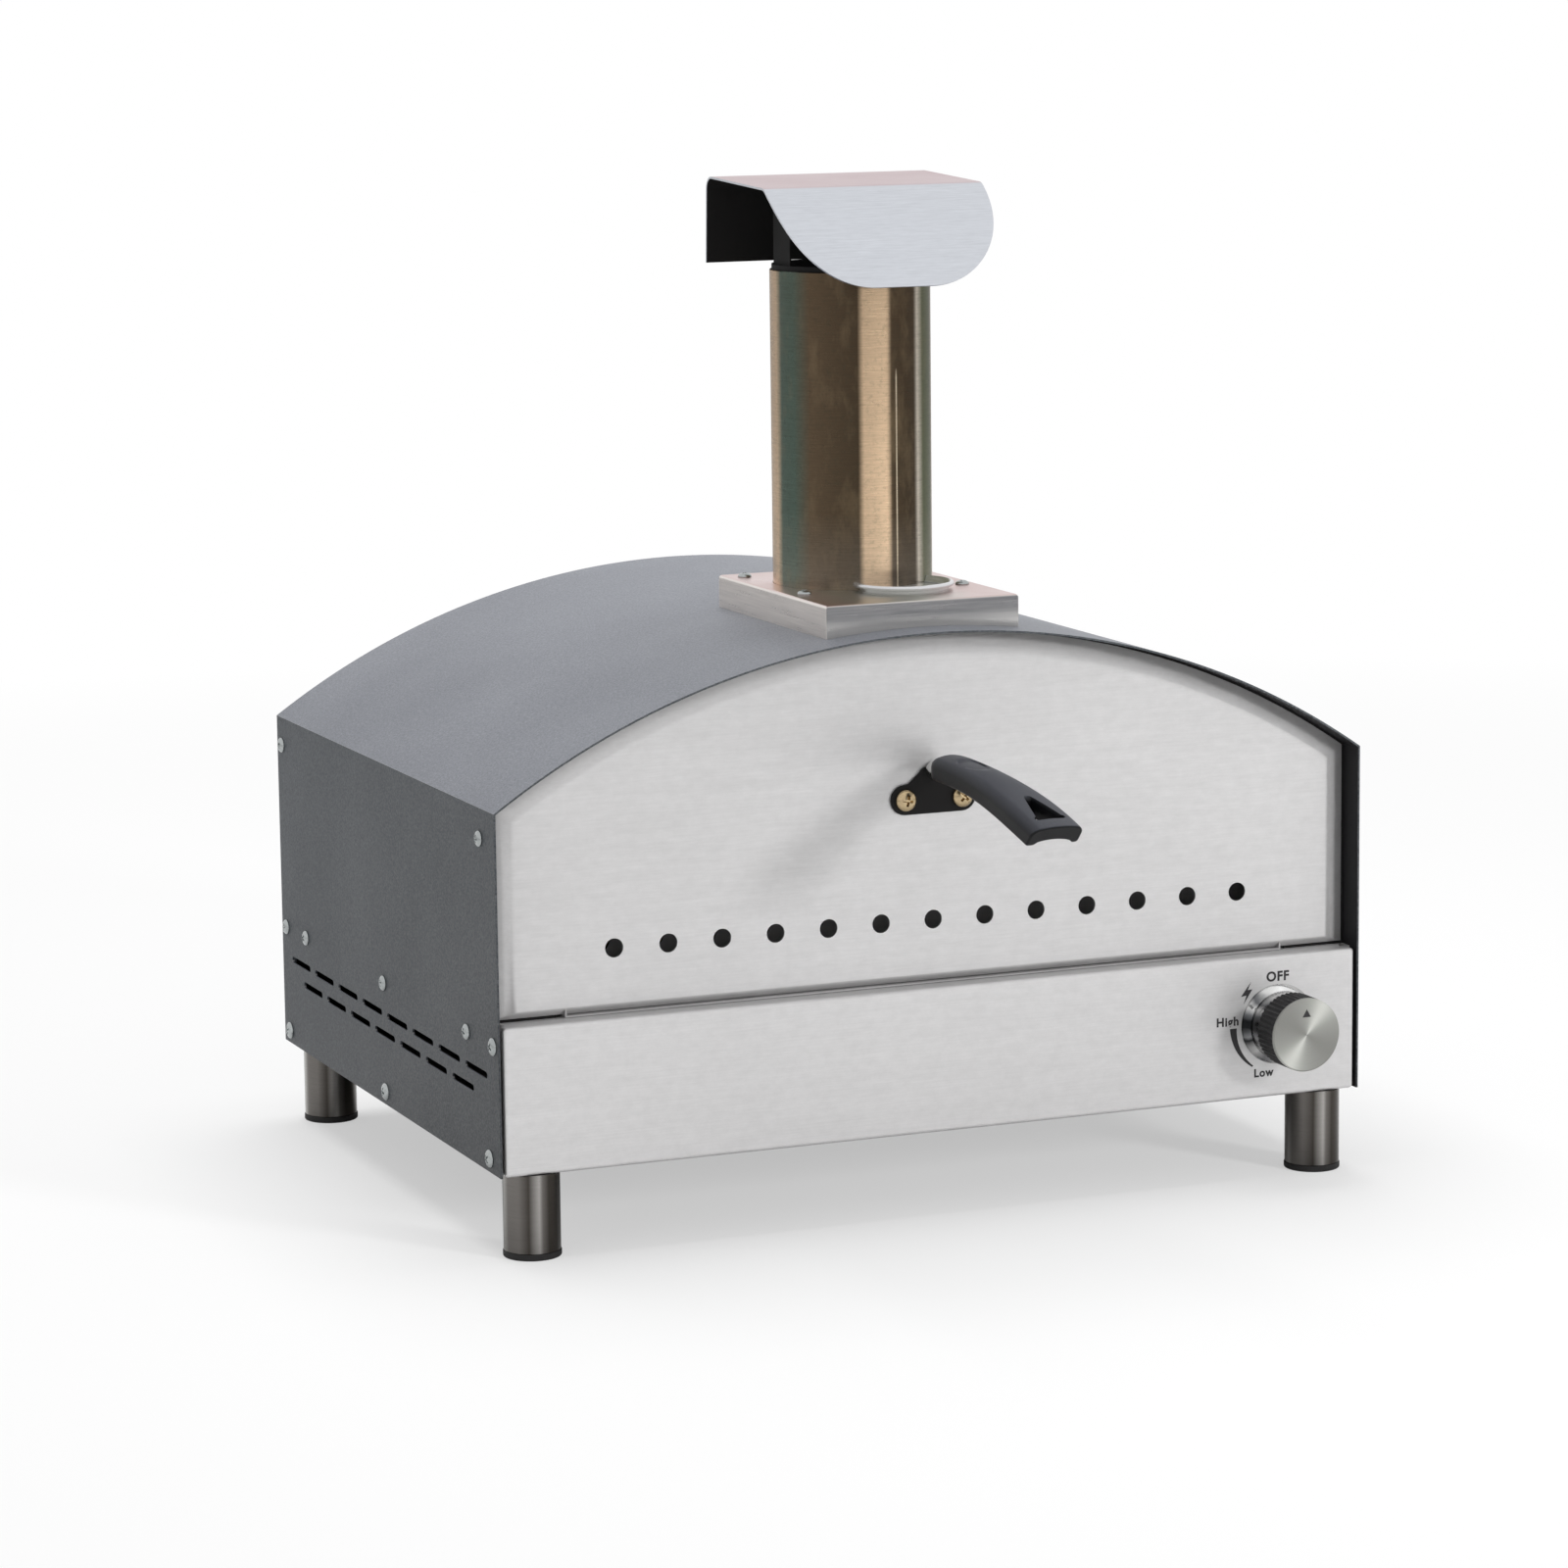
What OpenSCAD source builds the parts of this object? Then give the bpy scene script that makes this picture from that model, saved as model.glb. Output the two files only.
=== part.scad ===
// Table-top pizza oven: arched sheet-metal hood on four tube legs, lift-out front door,
// gas burner under the rear of the floor, square stone, and a capped chimney.
// Millimetres. X is to the right, Y to the back, Z up; Z = 0 is the table top.

/* [Hood] */
// Outside width of the hood
body_w = 530; // [500:1:600]
// Depth of the hood, front edge to back edge
body_d = 400; // [390:1:460]
// Height of the straight side walls' top above the table
side_h = 250; // [240:1:265]
// Height of the roof's crown above the table
crown_h = 333; // [325:1:350]
// Thickness of the hood's sheet
hood_t = 1.2; // [0.8:0.1:2]

/* [Legs] */
// Height of the oven's underside above the table
leg_h = 48; // [40:1:60]
// Outside diameter of a leg tube
leg_d = 31.8; // [25:0.1:38]
// Wall of a leg tube
leg_wall = 1.2; // [1:0.1:2]
// Leg axis in from the hood's side faces
leg_side_inset = 22.5; // [20:0.5:40]
// Front leg axis back from the hood's front edge
leg_front_inset = 14.5; // [14:0.5:40]
// Rear leg axis in from the hood's back edge
leg_rear_inset = 18; // [17:0.5:40]
// Height of the rubber foot that shows below the tube
foot_h = 3.6; // [2:0.1:8]

/* [Control panel] */
// Height of the stainless control panel
panel_h = 83.3; // [80:0.1:95]
// Sheet thickness of the panel, floor, frame and liner
sheet_t = 1.2; // [0.8:0.1:2]
// Gap from the panel's ends to the hood's inner walls
panel_gap = 1.8; // [1:0.1:3]
// Outer radius of the panel's folds
fold_r = 2.2; // [2.1:0.1:4]
// Depth of the panel's folded returns
panel_return = 8; // [6:0.5:12]

/* [Door] */
// Depth of the door's face behind the hood's front edge
door_recess = 13; // [11:0.5:18]
// Gap from the door's edge to the hood's inner wall
door_gap = 1.3; // [0.8:0.1:3]
// Gap under the door's front sheet
door_lift = 1.7; // [1.4:0.1:8]
// Width of the sloping band round the door's face
bevel_w = 12.5; // [8:0.5:20]
// How far the sloping band falls back
bevel_drop = 4.5; // [3:0.1:8]
// Thickness of the door's sheets
door_t = 1; // [0.8:0.1:1.5]
// Depth of the pan behind the door's sheet
pan_depth = 21; // [16:1:28]
// Diameter of the air holes
hole_d = 10.6; // [6:0.2:12]
// Pitch of the air holes
hole_pitch = 32; // [26:0.5:32]
// Number of air holes
hole_count = 13; // [5:2:13]
// Height of the air holes above the door's lower edge
hole_rise = 35.4; // [20:0.1:50]

/* [Handle] */
// Width of the handle's mounting plate
plate_w = 52; // [48:1:60]
// Height of the handle's mounting plate
plate_h = 17; // [15:0.5:20]
// Thickness of the handle's mounting plate
plate_t = 2; // [1.5:0.1:3]
// Height of the mounting plate's middle above the table
plate_z = 237.5; // [225:0.5:240]
// Spacing of the two mounting screws
plate_pitch = 34.6; // [32:0.1:35]
// Diameter of the brass screw heads
brass_d = 12.5; // [10:0.1:14]
// Grip axis above the mounting plate's middle
grip_rise = 16; // [14:0.5:20]
// Length of the bare metal neck between the plate and the grip
neck_len = 17; // [10:0.5:25]
// Diameter of the tang that carries the grip
tang_d = 3.5; // [3:0.5:4]
// Diameter of the bright neck sleeve
neck_d = 8; // [6:0.5:12]
// Length of the grip along its arc
grip_len = 149; // [120:1:170]
// Radius of the grip's droop
grip_arc = 500; // [300:10:600]
// Crown of the grip's centre line above the tang
grip_lift = 5.2; // [4.4:0.1:6]
// Crown of the grip in front of its root
grip_crown = 12; // [0:1:30]
// Grip thickness
grip_h = 14; // [13:0.5:18]
// Grip width at the neck
grip_w_root = 22; // [17:0.5:24]
// Grip width at the free end
grip_w_end = 30; // [26.5:0.5:32]
// How far the lower edge of the grip's free end is set back
grip_rake = 5; // [0:0.5:6]
// Radius of the grip's top edges
grip_r = 4.5; // [2:0.5:5]
// Depth of the hollow along the grip's underside
grip_hollow = 3; // [1:0.5:3.5]
// Length of the solid root in front of the hollow
root_len = 36; // [26:1:60]
// Length of the hanging hole
hang_len = 29; // [20:1:32]
// Width of the hanging hole
hang_w = 16; // [10:0.5:17]
// Hanging hole's wide side back from the grip's end
hang_inset = 12.5; // [12:0.5:24]

/* [Chimney] */
// Outside diameter of the chimney pipe
pipe_d = 92; // [80:1:96]
// Wall of the chimney pipe
pipe_wall = 1.2; // [0.8:0.1:2]
// Height of the pipe's top above the table
pipe_top = 528; // [480:1:560]
// Pipe axis in front of the middle of the hood
pipe_forward = 76; // [70:1:80]
// Width of the chimney's base box
base_w = 118; // [116:1:130]
// Depth of the chimney's base box
base_d = 161; // [155:1:164]
// Front of the base box back from the hood's front edge
base_front = 24; // [20:1:26]
// Height of the base box's top above the roof's crown
base_rise = 15; // [10:0.5:20]
// Screw spacing across the base box
base_screw_x = 98; // [96:1:104]
// Screw spacing along the base box
base_screw_y = 90; // [80:1:92]
// Width of the bright clip at the pipe's foot
clip_w = 58; // [50:1:60]
// How far the bright clip stands out in front of the pipe
clip_reach = 33; // [28:1:34]
// Height of the bright clip
clip_h = 5; // [3:0.5:8]
// Middle of the bright clip, right of the pipe's axis
clip_x = 10; // [-10:1:12]

/* [Chimney cap] */
// Width of the cap's sheet
cap_w = 134; // [126:1:150]
// Depth of the cap's flat top
cap_flat = 79.4; // [70:0.2:84]
// How far the cap's middle sits behind the pipe's axis
cap_back = 4.7; // [0:0.1:6]
// Height of the cap's flat top above the pipe's top
cap_rise = 52; // [48:1:60]
// Thickness of the cap's sheet
cap_t = 1.2; // [1:0.1:2]
// Forward slope of the cap's flat top, in degrees
cap_tilt = 2.6; // [0:0.1:4]
// Radius of the cap's rear bend
cap_bend = 7.6; // [4:0.1:10]
// Drop of the cap's rear flap
rear_drop = 50; // [30:1:52]
// Forward reach of the cap's front flap
flap_reach = 46.5; // [35:0.5:55]
// Drop of the cap's front flap
flap_drop = 52.5; // [51:0.5:65]
// How far the front flap bows out from straight
flap_bow = 4.9; // [2:0.1:8]
// Corner radius of the front flap
flap_r = 50; // [30:1:50]
// Height of the collar between the pipe and the cap
collar_h = 19; // [17:0.5:19]
// How far the collar reaches down into the pipe
collar_in = 16; // [15:0.5:17]
// Thickness of the collar and of the cap's straps
collar_t = 1; // [0.8:0.1:2]
// Width of the cap's two straps
strap_w = 24; // [16:1:28]

/* [Knob] */
// Knob axis in from the hood's right side
knob_side = 53; // [50:0.5:60]
// Knob axis above the hood's lower edge
knob_rise = 43; // [38:0.5:48]
// Diameter of the knob
knob_d = 43; // [40:0.5:48]
// Front of the knob ahead of the panel
knob_reach = 35.5; // [33:0.5:42]
// Depth of the knob's ribbed skirt
skirt_len = 18.7; // [16:0.1:20]
// Wall of the knob's skirt
skirt_t = 1.1; // [0.8:0.1:2]
// Number of ribs round the skirt
rib_count = 40; // [24:1:48]
// Height of a rib
rib_h = 0.5; // [0.3:0.1:0.8]
// Diameter of the bezel against the panel
bezel_d = 47; // [45:0.5:52]
// Thickness of the bezel's rim
bezel_t = 4; // [2:0.5:6]
// How far the bezel's boss reaches into the skirt
boss_in = 2; // [1:0.5:4]
// Push travel of the knob
knob_push = 3; // [2:0.5:4]
// Diameter of the valve's stem
stem_d = 8; // [6:0.5:9]
// Diameter of the valve's turning plug
plug_d = 12; // [11:0.5:14]

/* [Cooking chamber] */
// Width of the cooking chamber
cavity_w = 450; // [440:2:460]
// Gap between the roof and the chamber's roof
crown_gap = 36; // [30:1:40]
// Chamber's back wall in from the hood's back edge
cavity_back = 28; // [26:1:40]
// Width of the pizza stone
stone_w = 330; // [300:1:340]
// Depth of the pizza stone
stone_d = 296; // [280:1:298]
// Thickness of the pizza stone
stone_t = 12; // [10:0.5:15]
// Corner radius of the pizza stone
stone_r = 8; // [4:1:20]
// Height of the stone tray's runners
runner_h = 3; // [2:0.5:6]
// Height of the stone tray's rim
tray_rim = 8; // [6:0.5:12]
// How far the loose stone can be lifted
stone_lift = 20; // [10:1:30]
// Height of the flame guard
guard_h = 34; // [25:1:45]

/* [Burner and gas line] */
// Diameter of the burner's cross tube
burner_d = 26; // [20:1:28]
// Length of the burner's cross tube from the mixing tube
burner_len = 400; // [360:5:420]
// Wall of the burner tubes
burner_wall = 1; // [0.8:0.1:1.5]
// Diameter of the mixing tube
mixer_d = 20; // [16:0.5:24]
// Number of flame ports
port_count = 20; // [10:1:30]
// Diameter of a flame port
port_d = 3; // [2:0.1:4]
// Diameter of the gas pipe
gas_d = 8; // [6:0.5:9]
// Thread diameter of the gas inlet, G 1/4
inlet_d = 13.16; // [13.16]
// Length of the inlet's thread
inlet_len = 12; // [10:0.5:15]
// Gas inlet in from the hood's right side
inlet_side = 30; // [28:0.5:40]
// Gas inlet above the hood's lower edge
inlet_rise = 22; // [20:0.5:24]

/* [Vents and screws] */
// Length of a side vent
vent_len = 36.6; // [20:0.1:40]
// Height of a side vent
vent_h = 3.4; // [2:0.1:4]
// Pitch of the side vents
vent_pitch = 46.4; // [44:0.1:47]
// Vents in the upper row; the lower row has one fewer
vent_count = 8; // [4:1:8]
// Lower vent row above the hood's lower edge
vent_low = 42; // [34:0.5:46]
// Spacing of the two vent rows
vent_rows = 11.7; // [8:0.1:14]
// Head diameter of the small case screws
screw_d = 9.2; // [7:0.1:10]
// Head diameter of the corner case screws
corner_screw_d = 10.3; // [9:0.1:11]
// Head height of the case screws
screw_h = 2.6; // [2:0.1:4]

/* [Hidden] */
$fn = 96;
// Rest gap between pieces that move apart, and the running gap round shafts
rest_gap = 0.3;
run_gap = 0.05;
// Gap round the pipe where it passes through the sheets
pipe_gap = 0.15;
// Extra length that lets a cut pass through a face
cut = 1;

front_y = -body_d / 2;
back_y = body_d / 2;
wall_x = body_w / 2 - hood_t;
roof_r = (body_w * body_w / 4 + pow(crown_h - side_h, 2)) / (2 * (crown_h - side_h));
roof_z = crown_h - roof_r;
panel_top = leg_h + panel_h;
floor_top = panel_top - 0.3;

// Door
door_y = front_y + door_recess;
door_bottom = floor_top + door_lift;
rim_y = door_y + bevel_drop;
frame_y = rim_y + rest_gap;
chamber_front = frame_y + sheet_t;
chamber_back = back_y - cavity_back;

// Chimney
pipe_y = -pipe_forward;
pipe_r = pipe_d / 2;
base_top = crown_h + base_rise;
base_y = front_y + base_front;
cap_top = pipe_top + cap_rise;
cap_rear_y = pipe_y + cap_back + cap_flat / 2;
cap_front_y = pipe_y + cap_back - cap_flat / 2;
flap_chord = norm([flap_reach, flap_drop]);
flap_arc = (flap_chord * flap_chord / 4 + flap_bow * flap_bow) / (2 * flap_bow);
flap_dir = atan2(flap_drop, flap_reach);
strap_tab = 8;
rivet_d = 5;

// Knob and valve
knob_x = body_w / 2 - knob_side;
knob_z = leg_h + knob_rise;
knob_r = knob_d / 2;
knob_front_y = front_y - knob_reach;
face_t = 1.8;
skirt_front_y = knob_front_y + face_t;
skirt_back_y = skirt_front_y + skirt_len;
web_t = 3.7;
boss_r = knob_r - skirt_t - 0.5;
boss_y = skirt_back_y - boss_in;
hub_back_y = boss_y - knob_push - 0.5;
hub_r = stem_d / 2 + 4;
stem_front_y = skirt_front_y + 2;
valve_front_y = front_y + sheet_t;
valve_len = 42;
plug_front_y = valve_front_y + 4;
plug_back_y = plug_front_y + 28;
stem_back_y = plug_back_y - 6 - knob_push - 0.5;
valve_r = plug_d / 2 + 6;

// Grip
grip_z = plate_z + grip_rise;
hump_foot = 15;
hump_half = 7.5;
hump_rise = 2.5;
neck_y = door_y - plate_t;
grip_root_y = neck_y - neck_len;
grip_arc_z = grip_z + grip_lift - grip_arc;
grip_arc_y = grip_root_y - grip_crown;
grip_start = asin(grip_crown / grip_arc);
grip_sweep = grip_len / grip_arc * 180 / PI;
tip_trim = 0.6;
grip_tip_y = grip_arc_y - (grip_arc + grip_h / 2) * sin(grip_sweep - grip_start)
    + tip_trim * cos(grip_sweep - grip_start);
hang_y = grip_tip_y + hang_inset;
tang_in = 22;
grip_flare = 34;
brass_h = 4.2;
brass_shank = 4.8;
brass_len = 8;
nut_t = 4;
nut_w = 8;

// Burner, gas line and inlet
burner_y = chamber_back - burner_d / 2 - 2;
burner_z = floor_top - sheet_t - burner_d / 2 - 7;
burner_end_x = knob_x - burner_len;
slot_w = burner_len - 40;
slot_d = burner_d - 2;
mixer_front_y = valve_front_y + valve_len + 12;
inlet_x = body_w / 2 - inlet_side;
inlet_z = leg_h + inlet_rise;
inlet_hex = 19;
inlet_hex_t = 6;
inlet_end_y = back_y + inlet_hex_t + inlet_len;
gas_turn_y = valve_front_y + valve_len / 2;
valve_flange = 6;
valve_flange_t = 3.5;
valve_leg_r = gas_d / 2 + 2.5;
jet_d = 9;
jet_bore = 1.2;
jet_in = 4;
bracket_in = 30;
bracket_d = 16;
bracket_t = 2;

// Igniter, spark electrode and lead
igniter_w = 19;
igniter_h = 24;
igniter_x = knob_x - valve_r - 7 - igniter_w / 2;
igniter_end_y = valve_front_y + 40;
lead_d = 3;
lead_start_y = igniter_end_y + 8;
spark_d = 5;
spark_rise = 10;
spark_x = knob_x - 90;
spark_y = burner_y - burner_d / 2 - 3;

// Stone
tray_gap = 2;
tray_z = floor_top + runner_h;
stone_z = tray_z + sheet_t + rest_gap;
stone_back_y = burner_y - burner_d / 2 - 6;
stone_y = stone_back_y - stone_d / 2;
guard_y = stone_back_y + tray_gap + sheet_t + 1;

// Side screws, measured from the front and back edges
top_row_z = side_h - 17;
mid_row_z = panel_top - 11;
low_row_z = leg_h + 8;
top_row = [front_y + 24, back_y - 10];
mid_row = [front_y + 52, 0, back_y - 50, back_y - 10];
low_row = [front_y + 17, 0, back_y - 12];
mid_corner = front_y + 8;
back_screw_side = 70;
back_screw_drop = 12;
flange_h = 20;
pan_slot_pitch = 80;
pan_slot_len = 120;
pan_slot_w = 4;

// Legs and feet
leg_x = body_w / 2 - leg_side_inset;
leg_front_y = front_y + leg_front_inset;
leg_rear_y = back_y - leg_rear_inset;
foot_r = leg_d / 2 + 0.4;
foot_edge = 1;
foot_plug = 9;
bolt_w = 10;

// The model's origin is under the middle of its own box
middle_y = (grip_tip_y + inlet_end_y) / 2;

// ---- Helpers ----

// Puts the oven over the origin
module centred() translate([0, -middle_y, 0]) children();

// A flat outline (x, z) made solid from y0 to y1
module slab(y0, y1) translate([0, y1, 0]) rotate([90, 0, 0]) linear_extrude(height = y1 - y0) children();

// A flat outline (y, z) made solid from x0 to x1
module rail(x0, x1) translate([x0, 0, 0]) rotate([90, 0, 90]) linear_extrude(height = x1 - x0) children();

// A rod along Y from y0 to y1
module rod_y(x, z, y0, y1, r) translate([x, y0, z]) rotate([-90, 0, 0]) cylinder(h = y1 - y0, r = r);

// A rod along X from x0 to x1
module rod_x(y, z, x0, x1, r) translate([x0, y, z]) rotate([0, 90, 0]) cylinder(h = x1 - x0, r = r);

// A box between two corners
module block(a, b) translate(a) cube(b - a);

// A rectangle with round corners
module soft_rect(x0, y0, x1, y1, r) {
    translate([x0 + r, y0]) square([x1 - x0 - 2 * r, y1 - y0]);
    translate([x0, y0 + r]) square([x1 - x0, y1 - y0 - 2 * r]);
    for (x = [x0 + r, x1 - r], y = [y0 + r, y1 - r]) translate([x, y]) circle(r = r);
}

// A slot with round ends, lying along the first axis, centred on (x, y)
module slot(x, y, length, height) {
    translate([x - length / 2 + height / 2, y - height / 2]) square([length - height, height]);
    for (side = [-1, 1]) translate([x + side * (length - height) / 2, y]) circle(r = height / 2);
}

// The hood's outline, moved in by inset and cut off at height z0
module arch(inset, z0) intersection() {
    translate([inset - body_w / 2, z0]) square([body_w - 2 * inset, crown_h - z0]);
    translate([0, roof_z]) circle(r = roof_r - inset);
}

// The cooking chamber's outline, moved out by grow
module chamber(grow, z0) intersection() {
    translate([-cavity_w / 2 - grow, z0]) square([cavity_w + 2 * grow, crown_h - z0]);
    translate([0, roof_z]) circle(r = roof_r - crown_gap + grow);
}

// Room for the back panel's folded edges, cut from the flat pans
module rear_corners() for (side = [-1, 1])
    block([side * wall_x - sheet_t, back_y - flange_h, 0], [side * wall_x + sheet_t, back_y, crown_h]);

// A cross-head screw's head, standing on z = 0
module pan_head(d, h) difference() {
    union() {
        cylinder(h = h * 0.4, r = d / 2);
        translate([0, 0, h * 0.4]) cylinder(h = h * 0.6, r1 = d / 2, r2 = d * 0.34);
    }
    for (a = [0, 90]) rotate([0, 0, a])
        translate([-d * 0.27, -d * 0.055, h * 0.45]) cube([d * 0.54, d * 0.11, h]);
}

// Screws on one side wall; side is -1 for the left and 1 for the right
module side_screws(side) for (s = concat(
    [for (y = top_row) [y, top_row_z, screw_d]],
    [for (y = mid_row) [y, mid_row_z, screw_d]],
    [for (y = low_row) [y, low_row_z, corner_screw_d]],
    [[mid_corner, mid_row_z, corner_screw_d]]))
    translate([side * body_w / 2, s[0], s[1]]) rotate([0, side * 90, 0]) pan_head(s[2], screw_h);

// One row of side vents, cut through both walls
module vent_row(n, z) for (i = [0 : n - 1]) translate([0, (i - (n - 1) / 2) * vent_pitch, 0])
    rail(-body_w, body_w) slot(0, z, vent_len, vent_h);

// ---- Casing ----

module hood() color("#5a6068") centred() difference() {
    slab(front_y, back_y) difference() {
        arch(0, leg_h);
        arch(hood_t, leg_h - cut);
    }
    vent_row(vent_count, leg_h + vent_low + vent_rows);
    vent_row(vent_count - 1, leg_h + vent_low);
    translate([0, pipe_y, crown_h - crown_gap]) cylinder(h = 2 * crown_gap, r = pipe_r + pipe_gap);
}

module back_panel() color("#50565d") centred() difference() {
    slab(back_y - flange_h, back_y) arch(hood_t, leg_h);
    slab(back_y - flange_h - cut, back_y - sheet_t) arch(hood_t + sheet_t, leg_h - cut);
    rod_y(inlet_x, inlet_z, back_y - 3 * sheet_t, back_y + cut, inlet_d / 2 + 0.4);
    for (i = [-4 : 4]) slab(back_y - 3 * sheet_t, back_y + cut)
        slot(i * vent_pitch, leg_h + vent_low + vent_rows, vent_len, vent_h);
}

module base_pan() color("#3a3d41") centred() difference() {
    block([-wall_x, front_y + panel_return, leg_h], [wall_x, back_y - sheet_t, leg_h + flange_h]);
    block([-wall_x + sheet_t, front_y + panel_return + sheet_t, leg_h + sheet_t],
        [wall_x - sheet_t, back_y, leg_h + flange_h + cut]);
    rear_corners();
    block([-wall_x + 2 * sheet_t, front_y, leg_h + sheet_t],
        [wall_x - 2 * sheet_t, 0, leg_h + flange_h + cut]);
    for (i = [-3, -1, 1, 3]) translate([i * pan_slot_pitch / 2, 0, leg_h - cut])
        linear_extrude(height = sheet_t + 2 * cut)
        rotate(90) slot(0, 0, pan_slot_len, pan_slot_w);
}

// The panel's solid outline, moved in by g from every outer face
module panel_block(g) intersection() {
    rail(-wall_x + panel_gap + g, wall_x - panel_gap - g)
        soft_rect(front_y + g, leg_h + g, front_y + panel_h - g, panel_top - g, fold_r - g);
    translate([0, 0, leg_h]) linear_extrude(height = panel_h)
        soft_rect(-wall_x + panel_gap + g, front_y + g, wall_x - panel_gap - g, back_y, fold_r - g);
}

module control_panel() color("#c9c7c4") centred() difference() {
    panel_block(0);
    panel_block(sheet_t);
    block([-body_w, front_y + panel_return, 0], [body_w, back_y, crown_h]);
    rod_y(knob_x, knob_z, front_y - cut, front_y + 3 * sheet_t, stem_d / 2 + 1);
}

module oven_floor() color("#b9b7b4") centred() difference() {
    union() {
        difference() {
            block([-wall_x, front_y + panel_return + 1, floor_top - flange_h],
                [wall_x, back_y - sheet_t, floor_top]);
            block([-wall_x + sheet_t, front_y, floor_top - flange_h - cut],
                [wall_x - sheet_t, back_y, floor_top - sheet_t]);
        }
        block([-cavity_w / 2, front_y + panel_return + 1, floor_top - flange_h / 2],
            [cavity_w / 2, front_y + panel_return + 1 + sheet_t, floor_top]);
    }
    for (side = [-1, 1]) translate([0, 0, floor_top - sheet_t - cut]) linear_extrude(height = 4)
        polygon([[side * (wall_x - 12), front_y], [side * (wall_x - 1.3), door_y + 6],
            [side * (wall_x - 1.3), front_y]]);
    rear_corners();
    translate([0, burner_y, floor_top - sheet_t - cut]) linear_extrude(height = 4)
        soft_rect(-slot_w / 2, -slot_d / 2, slot_w / 2, slot_d / 2, 4);
}

module front_frame() color("#2b2d30") centred() slab(frame_y, chamber_front) difference() {
    arch(hood_t, floor_top);
    chamber(0, floor_top - cut);
}

module chamber_liner() color("#8e8b86") centred() difference() {
    slab(chamber_front, chamber_back + sheet_t) difference() {
        chamber(sheet_t, floor_top);
        chamber(0, floor_top - cut);
    }
    translate([0, pipe_y, floor_top]) cylinder(h = crown_h, r = pipe_r + pipe_gap);
}

module chamber_back_wall() color("#8e8b86") centred()
    slab(chamber_back, chamber_back + sheet_t) chamber(0, floor_top);

module insulation() color("#d8d4c8") centred() difference() {
    slab(chamber_front + rest_gap, back_y - flange_h - rest_gap) difference() {
        arch(hood_t + rest_gap, floor_top);
        chamber(sheet_t + rest_gap, floor_top - cut);
    }
    translate([0, pipe_y, floor_top]) cylinder(h = crown_h, r = pipe_r + rest_gap);
}

// ---- Cooking floor ----

module stone_tray() color("#77736d") centred() {
    half_w = stone_w / 2 + tray_gap + sheet_t;
    half_d = stone_d / 2 + tray_gap + sheet_t;
    difference() {
        block([-half_w, stone_y - half_d, tray_z], [half_w, stone_y + half_d, tray_z + tray_rim]);
        block([-half_w + sheet_t, stone_y - half_d + sheet_t, tray_z + sheet_t],
            [half_w - sheet_t, stone_y + half_d - sheet_t, tray_z + tray_rim + cut]);
    }
    for (x = [-stone_w / 3, 0, stone_w / 3])
        block([x - 6, stone_y - half_d, floor_top], [x + 6, stone_y + half_d, tray_z]);
}

module pizza_stone() color("#d9c6a5") centred() translate([0, stone_y, stone_z])
    linear_extrude(height = stone_t)
    soft_rect(-stone_w / 2, -stone_d / 2, stone_w / 2, stone_d / 2, stone_r);

module flame_guard() color("#77736d") centred() {
    block([-slot_w / 2, guard_y, floor_top], [slot_w / 2, guard_y + sheet_t, floor_top + guard_h]);
}

// ---- Burner, valve and gas line ----

// The burner's cross tube and mixing tube, both thinned by g
module burner_tubes(g) {
    rod_x(burner_y, burner_z, burner_end_x + g, knob_x + burner_d / 2 - g, burner_d / 2 - g);
    rod_y(knob_x, knob_z, mixer_front_y - 2 * g, burner_y, mixer_d / 2 - g);
}

module burner() color("#9b9a97") centred() difference() {
    burner_tubes(0);
    burner_tubes(burner_wall);
    for (i = [0 : port_count - 1])
        translate([burner_end_x + 25 + i * (burner_len - 60) / (port_count - 1), burner_y, burner_z])
            cylinder(h = burner_d, r = port_d / 2);
}

module burner_brackets() color("#77736d") centred() for (x = [burner_end_x + bracket_in, knob_x - 2 * bracket_in])
    difference() {
        block([x, burner_y - bracket_d, leg_h + sheet_t], [x + bracket_t, burner_y + bracket_d / 2, burner_z + 2]);
        rod_x(burner_y, burner_z, x - cut, x + bracket_t + cut, burner_d / 2);
    }

module gas_valve() color("#b08d45") centred() difference() {
    union() {
        rod_y(knob_x, knob_z, valve_front_y, valve_front_y + valve_flange_t, valve_r + valve_flange);
        rod_y(knob_x, knob_z, valve_front_y, valve_front_y + valve_len, valve_r);
        rod_y(knob_x, knob_z, valve_front_y, mixer_front_y + jet_in, jet_d / 2);
        translate([knob_x, gas_turn_y, inlet_z]) cylinder(h = knob_z - inlet_z - plug_d / 2 - 1, r = valve_leg_r);
    }
    rod_y(knob_x, knob_z, valve_front_y - cut, plug_back_y + run_gap, plug_d / 2 + run_gap);
    rod_y(knob_x, knob_z, valve_front_y + valve_len - cut, mixer_front_y + jet_in + cut, jet_bore / 2);
}

module valve_plug() color("#d6b56a") centred() difference() {
    rod_y(knob_x, knob_z, plug_front_y, plug_back_y, plug_d / 2);
    rod_y(knob_x, knob_z, plug_front_y - cut, plug_back_y - 6, stem_d / 2 + run_gap);
}

module valve_stem() color("#c8c8c8") centred() rod_y(knob_x, knob_z, stem_front_y, stem_back_y, stem_d / 2);

module gas_pipe() color("#b87333") centred() {
    rod_y(inlet_x, inlet_z, gas_turn_y, back_y - 14, gas_d / 2);
    difference() {
        rod_x(gas_turn_y, inlet_z, knob_x, inlet_x, gas_d / 2);
        translate([knob_x, gas_turn_y, inlet_z - gas_d]) cylinder(h = 2 * gas_d, r = valve_leg_r);
    }
    translate([inlet_x, gas_turn_y, inlet_z]) sphere(r = gas_d / 2);
}

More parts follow.
